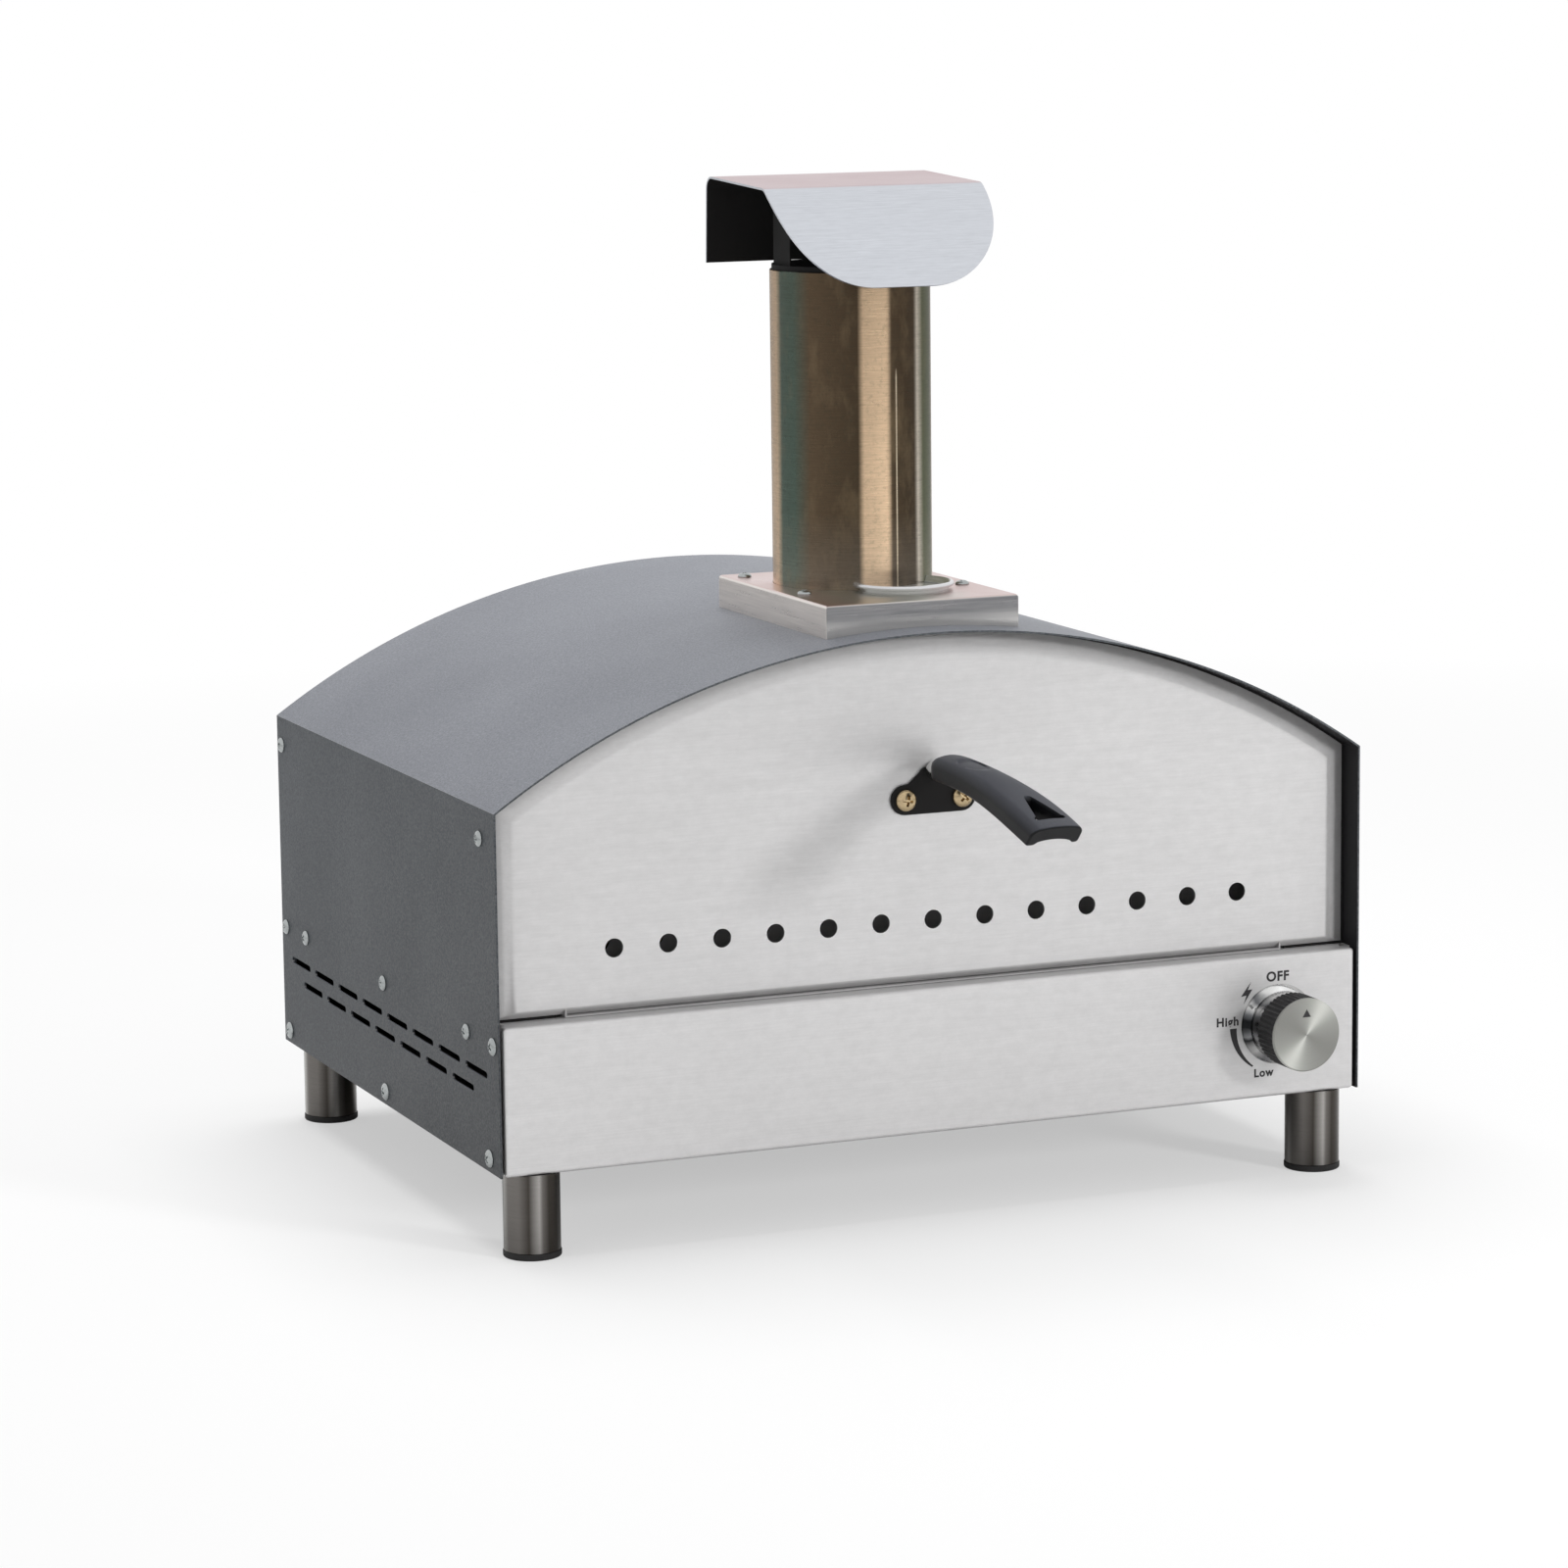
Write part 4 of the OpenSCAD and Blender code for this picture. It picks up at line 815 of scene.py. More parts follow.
def makeBackPanel():
    inset = hoodHigh.x - backHigh.x
    rings = [(0.0, backLow.y)]
    rings += [(pull, backHigh.y - fall) for pull, fall in roundOver(backShape["fold"], (0, 22, 45, 68, 90))]
    bm = bmesh.new()
    loft(bm, [[(x, y, z) for x, z in archLoop(inset + pull, backLow.z + pull)] for pull, y in rings],
         capEnd=True)
    faceTowards(bm, (0, 1, 0))
    panel = addPiece("back_sheet", bm, [hoodPaint, hoodInsideShade], "oven", ["back_panel"])
    thicken(panel, backShape["sheet"], backMaterial=1)
    cutters = bmesh.new()
    count, height = backShape["vents"]
    ventCutters(cutters, count, height, "Y", backHigh.y - 0.01, backHigh.y + 0.01, 0)
    inletMiddle = (inletLow + inletHigh) / 2
    drill(cutters, backShape["inletHole"], -0.01, 0.01,
          axisAt((inletMiddle.x, backHigh.y, inletMiddle.z), (0, 1, 0)))
    carve(panel, cutters)
    shade(panel, 28)


makeBackPanel()


panelLow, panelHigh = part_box("control_panel")
panelShape = {"fold": 0.0022, "sheet": 0.0012, "stemHole": 0.005}


def makeControlPanel():
    fold = panelShape["fold"]
    rings = [(0.0, panelHigh.y), (0.0, panelLow.y + fold)]
    rings += [(pull, panelLow.y + fall) for pull, fall in roundOver(fold, (18, 36, 54, 72, 90))]
    bm = bmesh.new()
    loft(bm, [[(x, y, z) for x, z in softBox(
        (panelLow.x + pull, panelLow.z + pull), (panelHigh.x - pull, panelHigh.z - pull),
        fold - pull * 0.8, 5)] for pull, y in rings], capEnd=True)
    faceTowards(bm, (0, -1, 0))
    panel = addPiece("panel_front", bm, [panelSteel, plainSteel], "oven", ["control_panel"])
    thicken(panel, panelShape["sheet"], backMaterial=1)
    cutters = bmesh.new()
    drill(cutters, panelShape["stemHole"], -0.02, 0.02,
          axisAt((knobMiddle.x, panelLow.y, knobMiddle.z), (0, 1, 0)))
    carve(panel, cutters)
    shade(panel, 40)


makeControlPanel()


doorLow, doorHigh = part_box("door_sheet")
doorShape = {
    "bevel": 0.0125,         # width of the sloping band
    "lowBevel": 0.0042,      # its height along the bottom edge
    "sheet": 0.0010,
    "shoulder": 0.0012,      # roundness where the band meets the face
    "holeRadius": 0.0053,
    "holePitch": 0.032,
    "holes": 13,
    "holeRise": 0.0354,
    "screwHole": 0.0025,
    "edge": 0.00018,
}
screwsLow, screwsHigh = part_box("handle_screws")
screwZ = (screwsLow.z + screwsHigh.z) / 2
brassRadius = (screwsHigh.z - screwsLow.z) / 2
brassX = screwsHigh.x - brassRadius


def makeDoor():
    inset = hoodHigh.z - doorHigh.z
    band, drop = doorShape["bevel"], doorHigh.y - doorLow.y
    soft = doorShape["shoulder"] / band
    steps = [(0.0, 0.0), (soft, soft * 0.95), (0.5, 0.5), (1 - soft, 1 - soft * 0.75), (1.0, 1 - soft * 0.25),
             (1 + soft, 1.0)]
    sideInset = (halfWidth - doorHigh.x) - inset
    rings = []
    for share, fall in steps:
        loop = archLoop(inset + band * share, doorLow.z + doorShape["lowBevel"] * share, sideInset)
        rings.append([(x, doorHigh.y - drop * fall, z) for x, z in loop])
    bm = bmesh.new()
    loft(bm, rings, capEnd=True)
    faceTowards(bm, (0, -1, 0))
    door = addPiece("door_face", bm, [doorSteel, sootedSteel], "door", ["door_sheet"])
    thicken(door, doorShape["sheet"], backMaterial=1)
    cutters = bmesh.new()
    for i in range(doorShape["holes"]):
        at = (i - (doorShape["holes"] - 1) / 2) * doorShape["holePitch"]
        drill(cutters, doorShape["holeRadius"], -0.02, 0.02,
              axisAt((at, doorLow.y, doorLow.z + doorShape["holeRise"]), (0, 1, 0)), 48)
    for side in (-1, 1):
        drill(cutters, doorShape["screwHole"], -0.02, 0.02,
              axisAt((side * brassX, doorLow.y, screwZ), (0, 1, 0)), 24)
    carve(door, cutters)
    softenEdges(door, doorShape["edge"], 2, 60)
    shade(door, 30)


makeDoor()
print("hood, panel and door ready")


gripLow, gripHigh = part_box("handle_grip")
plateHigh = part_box("handle_plate")[1]
neckLow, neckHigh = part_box("handle_neck")
neckMiddle = (neckLow + neckHigh) / 2
gripShape = {
    "length": 0.1483,
    "droopRadius": 0.500,
    "crown": 0.012,          # crown of the curve in front of the root
    "thickness": 0.014,
    "rootHalf": 0.0115,
    "endHalf": 0.0154,
    "rake": 0.0080,          # how far the end's lower edge is set back
    "rakeStart": 0.030,      # where that starts, back from the end
    "topRound": 0.0064,
    "footRound": 0.0016,
    "footWidth": 0.0032,     # flat left at each side of the hollow underneath
    "hollow": 0.0036,
    "solidRoot": 0.036,
    "rootDome": 0.0090,      # length of the rounded nose
    "noseShare": 0.42,       # how much of the section is left at the nose's tip
    "endRound": 0.0016,
    "steps": 110,
    "thumbStart": 0.020,
    "thumbLength": 0.036,
    "thumbHalf": 0.0066,
    "thumbDepth": 0.0011,
    "hangBack": 0.0125,      # wide side of the hanging hole, back from the free end
    "hangLength": 0.029,
    "hangHalf": 0.0080,
    "hangChamfer": 0.0016,
    "hangCorner": 0.0022,
}


def smooth(value):
    value = min(max(value, 0.0), 1.0)
    return value * value * (3 - 2 * value)


def gripCentre():
    crownY = gripHigh.y - gripShape["crown"]
    crownZ = gripHigh.z - gripShape["thickness"] / 2
    return crownY, crownZ - gripShape["droopRadius"]


def gripSection(run, share, shrink):
    # one closed loop of (x, height) at a distance along the grip
    # share makes it smaller at the nose, and shrink pulls it in at the end
    shape = gripShape
    half = shape["rootHalf"] + (shape["endHalf"] - shape["rootHalf"]) * smooth((run - 0.03) / 0.10)
    half = half * (0.35 + 0.65 * share) - shrink
    top = shape["thickness"] / 2 * share - shrink
    low = -top
    crown = 0.0009 * share
    rounding = min(shape["topRound"], half * 0.75, top * 0.9)
    foot = min(shape["footRound"], half * 0.3, top * 0.4)
    hollow = shape["hollow"] * smooth((run - shape["solidRoot"]) / 0.02)
    side = arc((half - rounding, top - crown - rounding), rounding, 0, 78, 10)
    over = []
    edge = side[-1]
    for i in range(1, 20):
        x = edge[0] * (1 - i / 10)
        over.append((x, edge[1] + (top - edge[1]) * (1 - (x / edge[0]) ** 2)))
    thumbRun = (run - shape["thumbStart"]) / shape["thumbLength"]
    if 0 < thumbRun < 1:        # a leaf-shaped flat for the thumb
        leaf = shape["thumbHalf"] * math.sin(math.pi * thumbRun ** 0.8) ** 0.7
        over = [(x, h - shape["thumbDepth"] * smooth((leaf - abs(x)) / 0.0012 + 0.5)
                 * smooth(4 * min(thumbRun, 1 - thumbRun))) for x, h in over]
    left = [(-x, h) for x, h in reversed(side)]
    footLeft = arc((-half + foot, low + foot), foot, 180, 270, 4)
    inner = max(half - shape["footWidth"], 0.001)
    under = []
    for i in range(0, 15):
        x = -inner + 2 * inner * i / 14
        under.append((x, low + hollow * max(1 - (x / inner) ** 2, 0.0) ** 0.6))
    footRight = [(-x, h) for x, h in reversed(footLeft)]
    return side + over + left + footLeft + under + footRight


def gripPoint(run, x, height):
    centreY, centreZ = gripCentre()
    start = math.asin(gripShape["crown"] / gripShape["droopRadius"])
    angle = start - run / gripShape["droopRadius"]
    reach = gripShape["droopRadius"] + height
    return Vector((x, centreY + reach * math.sin(angle), centreZ + reach * math.cos(angle)))


def endShrink(gap, radius):        # how far a rounded end pulls in, at a distance from that end
    return radius - math.sqrt(max(radius ** 2 - (radius - gap) ** 2, 0.0)) if gap < radius else 0.0


def makeGrip():
    shape = gripShape
    length = shape["length"]
    runs = [shape["rootDome"] * (1 - math.cos(math.radians(a))) for a in range(0, 90, 9)]
    flat = shape["rootDome"]
    runs += [flat + (length - flat - shape["endRound"]) * i / shape["steps"] for i in range(shape["steps"])]
    runs += [length - shape["endRound"] * (1 - math.sin(math.radians(a))) for a in (0, 20, 40, 60, 78)]
    rings = []
    for run in runs:
        nose = min(run / shape["rootDome"], 1)
        share = shape["noseShare"] + (1 - shape["noseShare"]) * math.sqrt(nose * (2 - nose))
        shrink = endShrink(length - run, shape["endRound"])
        lean = shape["rake"] * smooth((run - length + shape["rakeStart"]) / shape["rakeStart"])
        rings.append([gripPoint(run - lean * (0.5 - h / shape["thickness"]), x, h)
                      for x, h in gripSection(run, share, shrink)])
    bm = bmesh.new()
    loft(bm, rings, capStart=True, capEnd=True)
    grip = addSolid("grip_moulding", bm, gripSkin, "door", ["handle_grip"])

    wide = gripLow.y + shape["hangBack"]
    corner = shape["hangCorner"]

    def hangOutline(grow):
        half = shape["hangHalf"] + grow
        tip = wide + shape["hangLength"] + grow * 1.6
        back = wide - grow
        lean = math.degrees(math.atan2(half - corner, shape["hangLength"]))
        points = arc((half - corner, back + corner), corner, -90, 90 - lean, 6)
        points += arc((0, tip - corner), corner, 90 - lean - 70, 90 + lean + 70, 8)
        points += arc((-half + corner, back + corner), corner, 90 + lean, 270, 6)
        return points

    cutters = bmesh.new()
    top, chamfer = shape["thickness"] / 2, shape["hangChamfer"]
    levels = [(-0.03, 0.0), (top - chamfer - 0.0012, 0.0), (top - 0.0008, chamfer * 0.55),
              (top + 0.0012, chamfer * 1.6)]
    centreY, centreZ = gripCentre()
    rings = []
    for height, grow in levels:
        ring = []
        for x, y in hangOutline(grow):
            reach = shape["droopRadius"] + height
            out = (y - centreY) * reach / (shape["droopRadius"] + top)
            ring.append((x, centreY + out, centreZ + math.sqrt(reach ** 2 - out ** 2)))
        rings.append(ring)
    loft(cutters, rings, capStart=True, capEnd=True)
    carve(grip, cutters)
    shade(grip, 40)


makeGrip()

plateShape = {
    "length": 0.052,
    "height": 0.017,
    "middle": 0.2375,
    "shoulderHalf": 0.015,
    "humpHalf": 0.0082,
    "humpRound": 0.004,
    "sheet": 0.0020,
    "edge": 0.0005,
    "neckRadius": 0.0052,
    "neckRound": 0.0006,
    "neckBore": 0.0021,
}
plateFront = doorLow.y - plateShape["sheet"]


def makeHandlePlate():
    run = (plateShape["length"] - plateShape["height"]) / 2
    half = plateShape["height"] / 2
    middle = plateShape["middle"]
    top = plateHigh.z - 0.0006
    humpHalf, humpRound = plateShape["humpHalf"], plateShape["humpRound"]
    outline = arc((run, middle), half, -90, 90, 12)
    outline += [(plateShape["shoulderHalf"], middle + half + 0.0004)]
    outline += arc((humpHalf - humpRound, top - humpRound), humpRound, 20, 90, 5)
    outline += arc((-humpHalf + humpRound, top - humpRound), humpRound, 90, 160, 5)
    outline += [(-plateShape["shoulderHalf"], middle + half + 0.0004)]
    outline += arc((-run, middle), half, 90, 270, 12)
    bm = bmesh.new()
    prism(bm, outline, "Y", plateFront, doorLow.y)
    plate = addSolid("handle_bracket", bm, mattBlack, "door", ["handle_plate"])
    softenEdges(plate, plateShape["edge"], 3, 50)
    shade(plate, 40)
    edge = plateShape["neckRound"]
    radius = plateShape["neckRadius"]
    length = neckHigh.y - neckLow.y
    bore = plateShape["neckBore"]
    profile = [(bore, 0.0), (radius - edge, 0.0), (radius, edge), (radius, length - edge),
               (radius - edge, length), (bore, length)]
    turnedPiece("neck_sleeve", profile, axisAt((neckMiddle.x, neckLow.y, neckMiddle.z), (0, 1, 0)), 48,
                brightSteel, "door", ["handle_neck"])


makeHandlePlate()
print("handle ready")


screwHead = {"cross": 0.56, "slot": 0.13, "depth": 0.55}        # shares of the head's radius and height


def headMesh(radius, height):        # a domed cross-head screw standing on z = 0
    profile = [(0.0004 * radius, 0.0), (radius * 0.97, 0.0), (radius, height * 0.08), (radius, height * 0.2)]
    for i in range(1, 9):
        angle = math.radians(90 * i / 8.4)
        profile.append((radius * math.cos(angle), height * (0.2 + 0.8 * math.sin(angle))))
    bm = bmesh.new()
    turned(bm, profile, Matrix.Identity(4), 40, closed=False)
    bmesh.ops.recalc_face_normals(bm, faces=bm.faces)
    mesh = bpy.data.meshes.new("head")
    bm.to_mesh(mesh)
    bm.free()
    head = bpy.data.objects.new("head", mesh)
    scene.collection.objects.link(head)
    wide, thin = radius * screwHead["cross"], radius * screwHead["slot"]
    floor = height * (1 - screwHead["depth"])
    for flip in (0, 1):
        cutters = bmesh.new()
        a, b = (thin, wide) if flip else (wide, thin)
        rings = [[(-a * s, -b * s, z), (a * s, -b * s, z), (a * s, b * s, z), (-a * s, b * s, z)]
                 for s, z in ((0.62, floor), (1.0, height * 1.02), (1.0, height * 1.4))]
        loft(cutters, rings, capStart=True, capEnd=True)
        carve(head, cutters)
    finished = head.data
    bpy.data.objects.remove(head)
    return finished


def screwGroup(name, places, material, body, replaced):
    # places holds (point, direction, radius, height, turn of the cross in degrees)
    bm = bmesh.new()
    made = {}
    for point, direction, radius, height, turn in places:
        size = (radius, height)
        if size not in made:
            made[size] = headMesh(radius, height)
        copy = made[size].copy()
        copy.transform(axisAt(point, direction) @ Matrix.Rotation(math.radians(turn), 4, "Z"))
        bm.from_mesh(copy)
        bpy.data.meshes.remove(copy)
    group = addPiece(name, bm, [material], body, replaced)
    shade(group, 35)
    return group


caseScrews = {
    "height": 0.0026,
    "radius": 0.0046,
    "cornerRadius": 0.00515,
    "topRow": (0.233, (0.024, 0.390)),             # height, then distances behind the hood's front edge
    "middleRow": (0.1203, (0.052, 0.200, 0.350, 0.390)),
    "lowRow": (0.056, (0.017, 0.200, 0.388)),
    "corner": (0.1203, 0.008),
    "backSpan": 0.195,
    "backDrop": 0.012,
}


def makeCaseScrews():
    shape = caseScrews
    for side, name in ((-1, "left"), (1, "right")):
        places = []
        spots = [(z, y, shape["radius"]) for z, row in (shape["topRow"], shape["middleRow"]) for y in row]
        spots += [(shape["lowRow"][0], y, shape["cornerRadius"]) for y in shape["lowRow"][1]]
        spots += [(shape["corner"][0], shape["corner"][1], shape["cornerRadius"])]
        for i, (z, y, radius) in enumerate(spots):
            place = (side * halfWidth, hoodLow.y + y, z)
            places.append((place, (side, 0, 0), radius, shape["height"], 37 * i))
        screwGroup("case_screws_" + name, places, screwSteel, "oven", ["screws_" + name])
    places = []
    for i, share in enumerate((-1, -1 / 3, 1 / 3, 1)):
        x = share * shape["backSpan"]
        z = roofCentre + math.sqrt((roofRadius - shape["backDrop"]) ** 2 - x * x)
        places.append(((x, hoodHigh.y, z), (0, 1, 0), shape["radius"], shape["height"], 50 * i))
    screwGroup("case_screws_back", places, screwSteel, "oven", ["screws_back"])


makeCaseScrews()

brassHeight = 0.0042
brassPlaces = [((side * brassX, plateFront, screwZ), (0, -1, 0), brassRadius, brassHeight, 20 + 30 * side)
               for side in (-1, 1)]
screwGroup("brass_screws", brassPlaces, yellowZinc, "door", ["handle_screws"])

boxScrews = {"radius": 0.004, "height": 0.0024}
boxScrewLow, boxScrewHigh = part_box("base_screws")


def makeBoxScrews():
    radius = boxScrews["radius"]
    spots = [(x, y) for x in (boxScrewLow.x + radius, boxScrewHigh.x - radius)
             for y in (boxScrewLow.y + radius, boxScrewHigh.y - radius)]
    places = [((x, y, boxScrewLow.z), (0, 0, 1), radius, boxScrews["height"], 25 * i)
              for i, (x, y) in enumerate(spots)]
    screwGroup("box_screws", places, screwSteel, "oven", ["base_screws"])


makeBoxScrews()
print("screws ready")


boxShape = {"sheet": 0.0012, "fold": 0.0018, "corner": 0.0006, "pipeHole": 0.04615}


def makeChimneyBox():
    fold, corner, sheet = boxShape["fold"], boxShape["corner"], boxShape["sheet"]
    low = hoodShape["sideTop"]

    def box(inset, roundness):
        rings = [[(x, y, low - inset) for x, y in softBox(
            (boxLow.x + inset, boxLow.y + inset), (boxHigh.x - inset, boxHigh.y - inset), corner, 3)]]
        for pull, fall in roundOver(roundness, (0, 22, 45, 68, 90)):
            pull += inset
            rings.append([(x, y, boxHigh.z - inset - fall) for x, y in softBox(
                (boxLow.x + pull, boxLow.y + pull), (boxHigh.x - pull, boxHigh.y - pull), corner, 3)])
        return rings

    bm = bmesh.new()
    loft(bm, box(0, fold), capStart=True, capEnd=True)
    piece = addSolid("chimney_box", bm, boxSteel, "oven", ["chimney_base"])
    cutters = bmesh.new()
    loft(cutters, box(sheet, fold - sheet * 0.6), capStart=True, capEnd=True)
    carve(piece, cutters)
    cutters = bmesh.new()
    drill(cutters, roofRadius, boxLow.y - 0.05, boxHigh.y + 0.05, axisAt((0, 0, roofCentre), (0, 1, 0)), 720)
    carve(piece, cutters)
    cutters = bmesh.new()
    drill(cutters, boxShape["pipeHole"], 0.3, 0.4, pipeAxis, 96)
    carve(piece, cutters)
    shade(piece, 40)


pipeRadius = pipeHigh.x - pipeMiddle.x
pipeShape = {"wall": 0.0012, "lip": 0.0003, "rows": 24}


def makePipe():
    wall, lip, count = pipeShape["wall"], pipeShape["lip"], pipeShape["rows"]
    radius, inner, top = pipeRadius, pipeRadius - wall, pipeHigh.z
    profile = [(inner + lip, pipeLow.z), (radius, pipeLow.z)]
    profile += [(radius, pipeLow.z + (top - lip - pipeLow.z) * i / count) for i in range(1, count + 1)]
    profile += [(radius - lip, top), (inner + lip, top), (inner, top - lip), (inner, pipeLow.z)]
    turnedPiece("pipe_tube", profile, pipeAxis, 128, pipeSteel, "oven", ["chimney_pipe"])


clipLow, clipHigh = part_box("pipe_clip")
clipShape = {"radius": 0.029, "floor": 0.0012, "rim": 0.0015, "foot": 0.0255, "clearance": 0.00015}


def makeClip():
    shape = clipShape
    height = clipHigh.z - clipLow.z
    outer, rim = shape["radius"], shape["rim"]
    profile = [(0.0002, 0.0), (shape["foot"], 0.0), (outer - 2 * rim, height * 0.35),
               (outer - 1.4 * rim, height - 2 * rim)]
    profile += arc((outer - rim, height - rim), rim, -60, 180, 6)
    profile += [(outer - 2.6 * rim, height * 0.45), (shape["foot"] - 0.002, shape["floor"]),
                (0.0002, shape["floor"])]
    bm = bmesh.new()
    centre = (clipHigh.x - outer, clipLow.y + outer, clipLow.z)
    turned(bm, profile, Matrix.Translation(centre), 96)
    clip = addSolid("clip_dish", bm, clipSteel, "oven", ["pipe_clip"])
    cutters = bmesh.new()
    drill(cutters, pipeRadius + shape["clearance"], clipLow.z - 0.01, clipHigh.z + 0.01, pipeAxis, 96)
    carve(clip, cutters)
    shade(clip, 40)


makeChimneyBox()
makePipe()
makeClip()

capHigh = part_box("chimney_cap")[1]
capShape = {
    "flat": 0.0794,
    "back": 0.0047,          # how far the cap's middle sits behind the pipe
    "sheet": 0.0012,
    "rearBend": 0.0076,
    "rearDrop": 0.050,
    "frontBend": 0.0040,
    "reach": 0.0465,
    "drop": 0.0525,
    "bow": 0.0049,
    "corner": 0.050,
    "tilt": 2.6,
    "edge": 0.0002,
    "columns": 40,
}


def makeCap():
    shape = capShape
    half = capHigh.x
    top = capHigh.z
    rear = pipeMiddle.y + shape["back"] + shape["flat"] / 2
    front = rear - shape["flat"]
    chord = math.hypot(shape["reach"], shape["drop"])
    bend = (chord ** 2 / 4 + shape["bow"] ** 2) / (2 * shape["bow"])
    lean = math.atan2(shape["drop"], shape["reach"])
    outY, outZ = -math.sin(lean), math.cos(lean)
    centreY = front - shape["reach"] / 2 - (bend - shape["bow"]) * outY
    centreZ = top - shape["drop"] / 2 - (bend - shape["bow"]) * outZ

    def flapY(z):
        return centreY - math.sqrt(bend ** 2 - (z - centreZ) ** 2)

    rearBend, rearDrop = shape["rearBend"], shape["rearDrop"]
    # each row is (y, z, half width)
    rows = [(rear + rearBend, top - rearDrop + (rearDrop - rearBend) * i / 6, half) for i in range(6)]
    rows += [(y, z, half) for y, z in arc((rear, top - rearBend), rearBend, 0, 90, 8)]
    rows += [(rear - shape["flat"] * i / 8, top, half) for i in range(1, 8)]
    soft = shape["frontBend"]
    dropZ = top - soft * 0.62
    startY, endY = front + soft * 0.6, flapY(dropZ)
    rows += [(startY + (endY - startY) * s, top - soft * 0.62 * s ** 2, half)
             for s in (0.0, 0.2, 0.4, 0.6, 0.8, 1.0)]
    straight = shape["drop"] - shape["corner"]
    for i in range(1, 25):
        angle = math.radians(90 * i / 24)
        fall = straight + shape["corner"] * math.sin(angle)
        if fall > soft:
            rows.append((flapY(top - fall), top - fall, half - shape["corner"] * (1 - math.cos(angle))))
    tilt = Matrix.Translation((0, rear, top)) @ Matrix.Rotation(math.radians(shape["tilt"]), 4, "X") \
        @ Matrix.Translation((0, -rear, -top))
    columns = shape["columns"]
    bm = bmesh.new()
    loft(bm, [[tilt @ Vector((wide * (2 * i / columns - 1), y, z)) for i in range(columns + 1)]
              for y, z, wide in rows], closedRing=False)
    faceTowards(bm, (0, 0, 1))
    cap = addPiece("cap_sheet", bm, [capOutside, mattBlack], "oven", ["chimney_cap"])
    thicken(cap, shape["sheet"], backMaterial=1)
    softenEdges(cap, shape["edge"], 2, 60)
    shade(cap, 40)


makeCap()
print("chimney ready")


legShape = {"wall": 0.0012, "lip": 0.0004, "top": 0.002, "footRound": 0.0009, "footPlug": 0.0090}


def makeLeg(name):
    low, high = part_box("leg_" + name)
    centre = (low + high) / 2
    radius = high.x - centre.x
    lip, wall = legShape["lip"], legShape["wall"]
    under = high.z - legShape["top"]
    profile = [(radius - wall, low.z), (radius - lip, low.z), (radius, low.z + lip), (radius, high.z - lip),
               (radius - lip, high.z), (0.0002, high.z), (0.0002, under), (radius - wall, under)]
    turnedPiece("leg_tube_" + name, profile, Matrix.Identity(4), 72,
                legTubeSteel, "oven", ["leg_" + name], place=(centre.x, centre.y, 0))

    footLow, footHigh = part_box("foot_" + name)
    footRadius = footHigh.x - centre.x
    rounding = legShape["footRound"]
    rim, plug = low.z, low.z + legShape["footPlug"]
    profile = [(0.0002, 0.0005), (footRadius * 0.5, 0.0005), (footRadius * 0.6, 0.0)]
    profile += arc((footRadius - rounding, rounding), rounding, -90, 0, 4)
    profile += [(footRadius, rim - 0.0004), (footRadius - 0.0004, rim), (radius - wall, rim),
                (radius - wall - 0.0002, plug), (0.0002, plug)]
    turnedPiece("foot_pad_" + name, profile, Matrix.Translation((centre.x, centre.y, footLow.z)), 72,
                blackRubber, "oven", ["foot_" + name])


for end in ("front", "rear"):
    for hand in ("left", "right"):
        makeLeg(end + "_" + hand)
print("legs ready")


bezelLow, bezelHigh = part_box("knob_bezel")
skirtLow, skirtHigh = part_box("knob_skirt")
knobShape = {
    "bezelRim": 0.0040,
    "bossRadius": 0.0199,
    "stemHole": 0.0050,
    "skirtBore": 0.0204,
    "web": 0.0037,
    "hubRadius": 0.0080,
    "ribs": 48,
    "ribHeight": 0.0006,
    "ribRound": 0.0010,
    "stemRadius": 0.0040,
    "pushRoom": 0.0035,      # left between the hub and the boss for the knob's push
    "pointerRise": 0.0128,
    "pointerHalf": 0.0027,
    "pointerHeight": 0.0046,
}


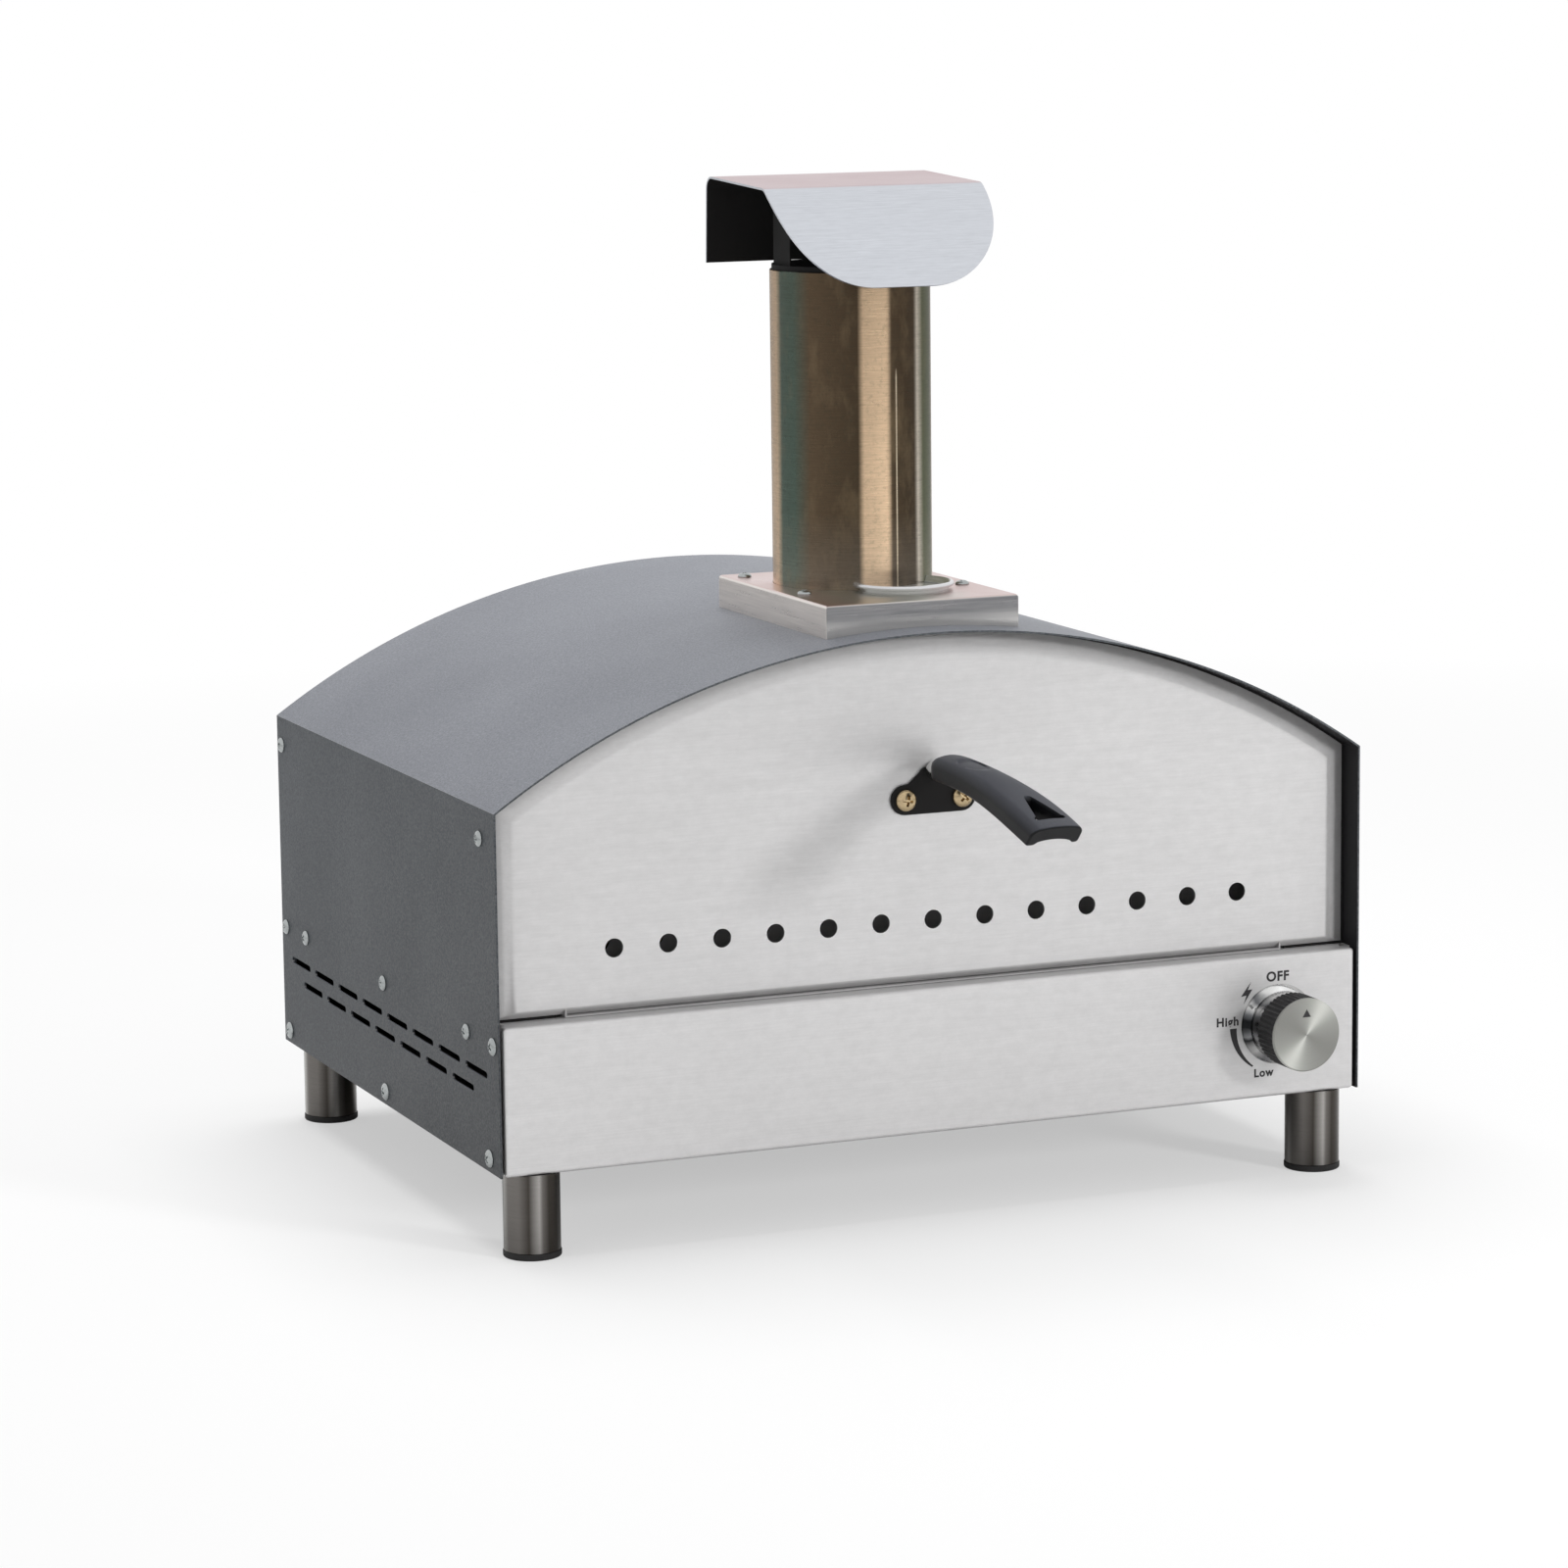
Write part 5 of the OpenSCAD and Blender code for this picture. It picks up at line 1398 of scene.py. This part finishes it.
def makeKnob():
    shape = knobShape
    bezelRadius = (bezelHigh.x - bezelLow.x) / 2
    reach = bezelHigh.y - bezelLow.y
    boss, rim = shape["bossRadius"], shape["bezelRim"]
    profile = [(shape["stemHole"], 0.0), (bezelRadius, 0.0), (bezelRadius, 0.0006)]
    profile += [(bezelRadius - 0.0004, 0.0012), (boss + 0.0016, rim - 0.0006), (boss + 0.0006, rim),
                (boss, rim + 0.0008), (boss, reach - 0.0004), (boss - 0.0004, reach),
                (shape["stemHole"], reach)]
    turnedPiece("bezel_ring", profile, axisAt((knobMiddle.x, bezelHigh.y, knobMiddle.z), (0, -1, 0)), 96,
                bezelSteel, "oven", ["knob_bezel"], angle=35)

    radius = (skirtHigh.x - skirtLow.x) / 2
    depth = skirtHigh.y - skirtLow.y
    bore, soft = shape["skirtBore"], shape["ribRound"]

    def rib(atRadius, height, angle):
        if atRadius < bore + 0.0004:
            return 0.0
        return -shape["ribHeight"] * (0.5 - 0.5 * math.cos(shape["ribs"] * angle)) ** 0.6

    hub, hubEnd = shape["hubRadius"], bezelLow.y - shape["pushRoom"] - skirtLow.y
    profile = [(shape["stemRadius"], 0.0), (radius - soft, 0.0)]
    profile += arc((radius - soft * 0.6, soft * 0.6), soft * 0.6, -60, 0, 3)
    profile += [(radius, depth * 0.5), (radius, depth - soft), (radius - 0.0004, depth), (bore, depth),
                (bore, shape["web"]), (hub, shape["web"]), (hub, hubEnd), (shape["stemRadius"], hubEnd)]
    turnedPiece("knob_body", profile, axisAt((knobMiddle.x, skirtLow.y, knobMiddle.z), (0, 1, 0)),
                shape["ribs"] * 8, skirtPlastic, "knob", ["knob_skirt"],
                angle=50, ripple=rib)

    faceRadius = (knobHigh.x - knobLow.x) / 2
    thick = knobHigh.y - knobLow.y
    profile = [(0.0001, 0.0), (faceRadius, 0.0), (faceRadius, thick - 0.0007)]
    profile += [(faceRadius - 0.0008 * s, thick - 0.0007 * (1 - s) ** 1.4) for s in (0.33, 0.66, 1.0)]
    profile += [(faceRadius - 0.0014, thick), (0.0001, thick)]
    turnedPiece("knob_cap", profile, axisAt((knobMiddle.x, knobHigh.y, knobMiddle.z), (0, -1, 0)), 128,
                knobFaceSteel, "knob", ["knob_face"], angle=25)

    bm = bmesh.new()
    base = knobMiddle.z + shape["pointerRise"] - shape["pointerHeight"] / 2
    prism(bm, [(knobMiddle.x - shape["pointerHalf"], base), (knobMiddle.x + shape["pointerHalf"], base),
               (knobMiddle.x, base + shape["pointerHeight"])], "Y", knobLow.y - 0.00004, knobLow.y + 0.0002)
    addSolid("knob_pointer", bm, markInk, "knob")


makeKnob()

marks = {
    "ink": 0.00006,          # how far the print stands on the panel
    # the word, its middle, the foot's height above the ground and its own height, in millimetres
    "words": (("OFF", 211.9, 119.2, 5.6), ("High", 179.5, 95.0, 5.1), ("Low", 202.9, 63.0, 4.8)),
    "bolt": (0.1918, 0.1106, 0.0067, 0.0130),        # middle, width and height
    "sweepRadius": 0.0288,
    "sweepStart": 181.0,
    "sweepEnd": 236.0,
    "sweepWide": 0.0044,
    "sweepThin": 0.0010,
}


def makeMarks():
    front, back = panelLow.y - marks["ink"], panelLow.y + 0.0002
    bm = bmesh.new()
    for word, x, z, height in marks["words"]:
        curve = bpy.data.curves.new("word", "FONT")
        curve.body = word
        curve.align_x = "CENTER"
        curve.size = height / 0.72 / 1000
        curve.space_character = 1.12
        curve.offset = 0.00005 * height
        curve.extrude = (back - front) / 2
        text = bpy.data.objects.new("word", curve)
        scene.collection.objects.link(text)
        place = (x / 1000, (front + back) / 2, z / 1000 - height / 2000)
        text.matrix_world = Matrix.Translation(place) @ Matrix.Rotation(math.radians(90), 4, "X")
        bpy.context.view_layer.update()
        depsgraph = bpy.context.evaluated_depsgraph_get()
        letters = bpy.data.meshes.new_from_object(text.evaluated_get(depsgraph))
        letters.transform(text.matrix_world)
        bm.from_mesh(letters)
        bpy.data.objects.remove(text)
        bpy.data.meshes.remove(letters)
    x, z, wide, tall = marks["bolt"]
    bolt = [(0.42, 0.5), (-0.55, -0.14), (-0.02, -0.1), (-0.3, -0.5), (0.55, 0.16), (0.1, 0.14)]
    prism(bm, [(x + a * wide, z + b * tall) for a, b in bolt], "Y", front, back)
    steps = 24
    outer, inner = [], []
    for i in range(steps + 1):
        share = i / steps
        angle = math.radians(marks["sweepStart"] + (marks["sweepEnd"] - marks["sweepStart"]) * share)
        wide = marks["sweepWide"] + (marks["sweepThin"] - marks["sweepWide"]) * share
        for points, out in ((outer, wide / 2), (inner, -wide / 2)):
            radius = marks["sweepRadius"] + out
            points.append((knobMiddle.x + radius * math.cos(angle), knobMiddle.z + radius * math.sin(angle)))
    prism(bm, outer + inner[::-1], "Y", front, back)
    bmesh.ops.remove_doubles(bm, verts=bm.verts, dist=1e-7)
    addSolid("panel_marks", bm, markInk, "oven")


makeMarks()
print("knob and marks ready")


inletShape = {
    "radius": 0.00658,
    "bore": 0.003,
    "thread": 0.012,         # length of the threaded end
    "pitch": 0.001337,
    "depth": 0.0008,
    "hex": 0.019,            # across the flats
    "hexDepth": 0.006,
    "nutBack": 0.0062,       # the inner nut's far side, in front of the back panel
    "nutDepth": 0.005,
    "edge": 0.0004,
}


def makeInlet():
    shape = inletShape
    middleX = (inletLow.x + inletHigh.x) / 2
    middleZ = (inletLow.z + inletHigh.z) / 2
    length = inletHigh.y - inletLow.y
    threadFrom = length - shape["thread"]

    def thread(atRadius, height, angle):
        if atRadius < shape["radius"] - 0.0005 or height < threadFrom + 0.0005:
            return 0.0
        phase = (height / shape["pitch"] - angle / (2 * math.pi)) % 1
        return -shape["depth"] * abs(2 * phase - 1)

    profile = [(shape["bore"], 0.0), (shape["radius"], 0.0), (shape["radius"], threadFrom)]
    count = 80
    profile += [(shape["radius"], threadFrom + (shape["thread"] - 0.0008) * i / count)
                for i in range(1, count + 1)]
    profile += [(shape["radius"] - 0.0009, length), (shape["bore"] + 0.0003, length),
                (shape["bore"], length - 0.0004)]
    bm = bmesh.new()
    turned(bm, profile, axisAt((middleX, inletLow.y, middleZ), (0, 1, 0)), 48, thread)
    hexagon = arc((middleX, middleZ), shape["hex"] / math.sqrt(3), 0, 300, 5)
    for start, deep in ((backHigh.y, shape["hexDepth"]), (backHigh.y - shape["nutBack"], shape["nutDepth"])):
        prism(bm, hexagon, "Y", start, start + deep)
    inlet = addSolid("inlet_fitting", bm, brass, "oven", ["gas_inlet"])
    softenEdges(inlet, shape["edge"], 2, 50)
    shade(inlet, 30)


makeInlet()


stoneLow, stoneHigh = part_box("pizza_stone")
stoneShape = {"corner": 0.008, "edge": 0.0016}


def makeStone():
    edge = stoneShape["edge"]
    rings = [(pull, stoneLow.z + fall) for pull, fall in roundOver(edge, (90, 45, 0))]
    rings += [(pull, stoneHigh.z - fall) for pull, fall in roundOver(edge, (0, 30, 60, 90))]
    bm = bmesh.new()
    loft(bm, [[(x, y, z) for x, y in softBox(
        (stoneLow.x + pull, stoneLow.y + pull), (stoneHigh.x - pull, stoneHigh.y - pull),
        stoneShape["corner"], 8)] for pull, z in rings], capStart=True, capEnd=True)
    stone = addSolid("stone_slab", bm, cordieriteStone, "stone", ["pizza_stone"])
    shade(stone, 50)


makeStone()


keptFinishes = {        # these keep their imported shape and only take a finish
    "base_pan": mattBlack, "oven_floor": shelfSteel, "front_frame": mattBlack, "chamber_liner": plainSteel,
    "chamber_back_wall": plainSteel, "insulation": fibreWool, "stone_tray": plainSteel,
    "flame_guard": plainSteel,
    "burner": plainSteel, "burner_brackets": plainSteel, "gas_valve": brass, "valve_plug": brass,
    "valve_stem": brightSteel, "gas_pipe": copper, "igniter": ceramic, "electrode": ceramic,
    "ignition_lead": blackRubber, "cap_collar": mattBlack, "cap_straps": mattBlack, "leg_bolts": brightSteel,
    "door_pan": sootedSteel, "handle_nuts": brightSteel,
}
for node, material in keptFinishes.items():
    nodes[node].data.materials.clear()
    nodes[node].data.materials.append(material)
print("kept pieces finished")
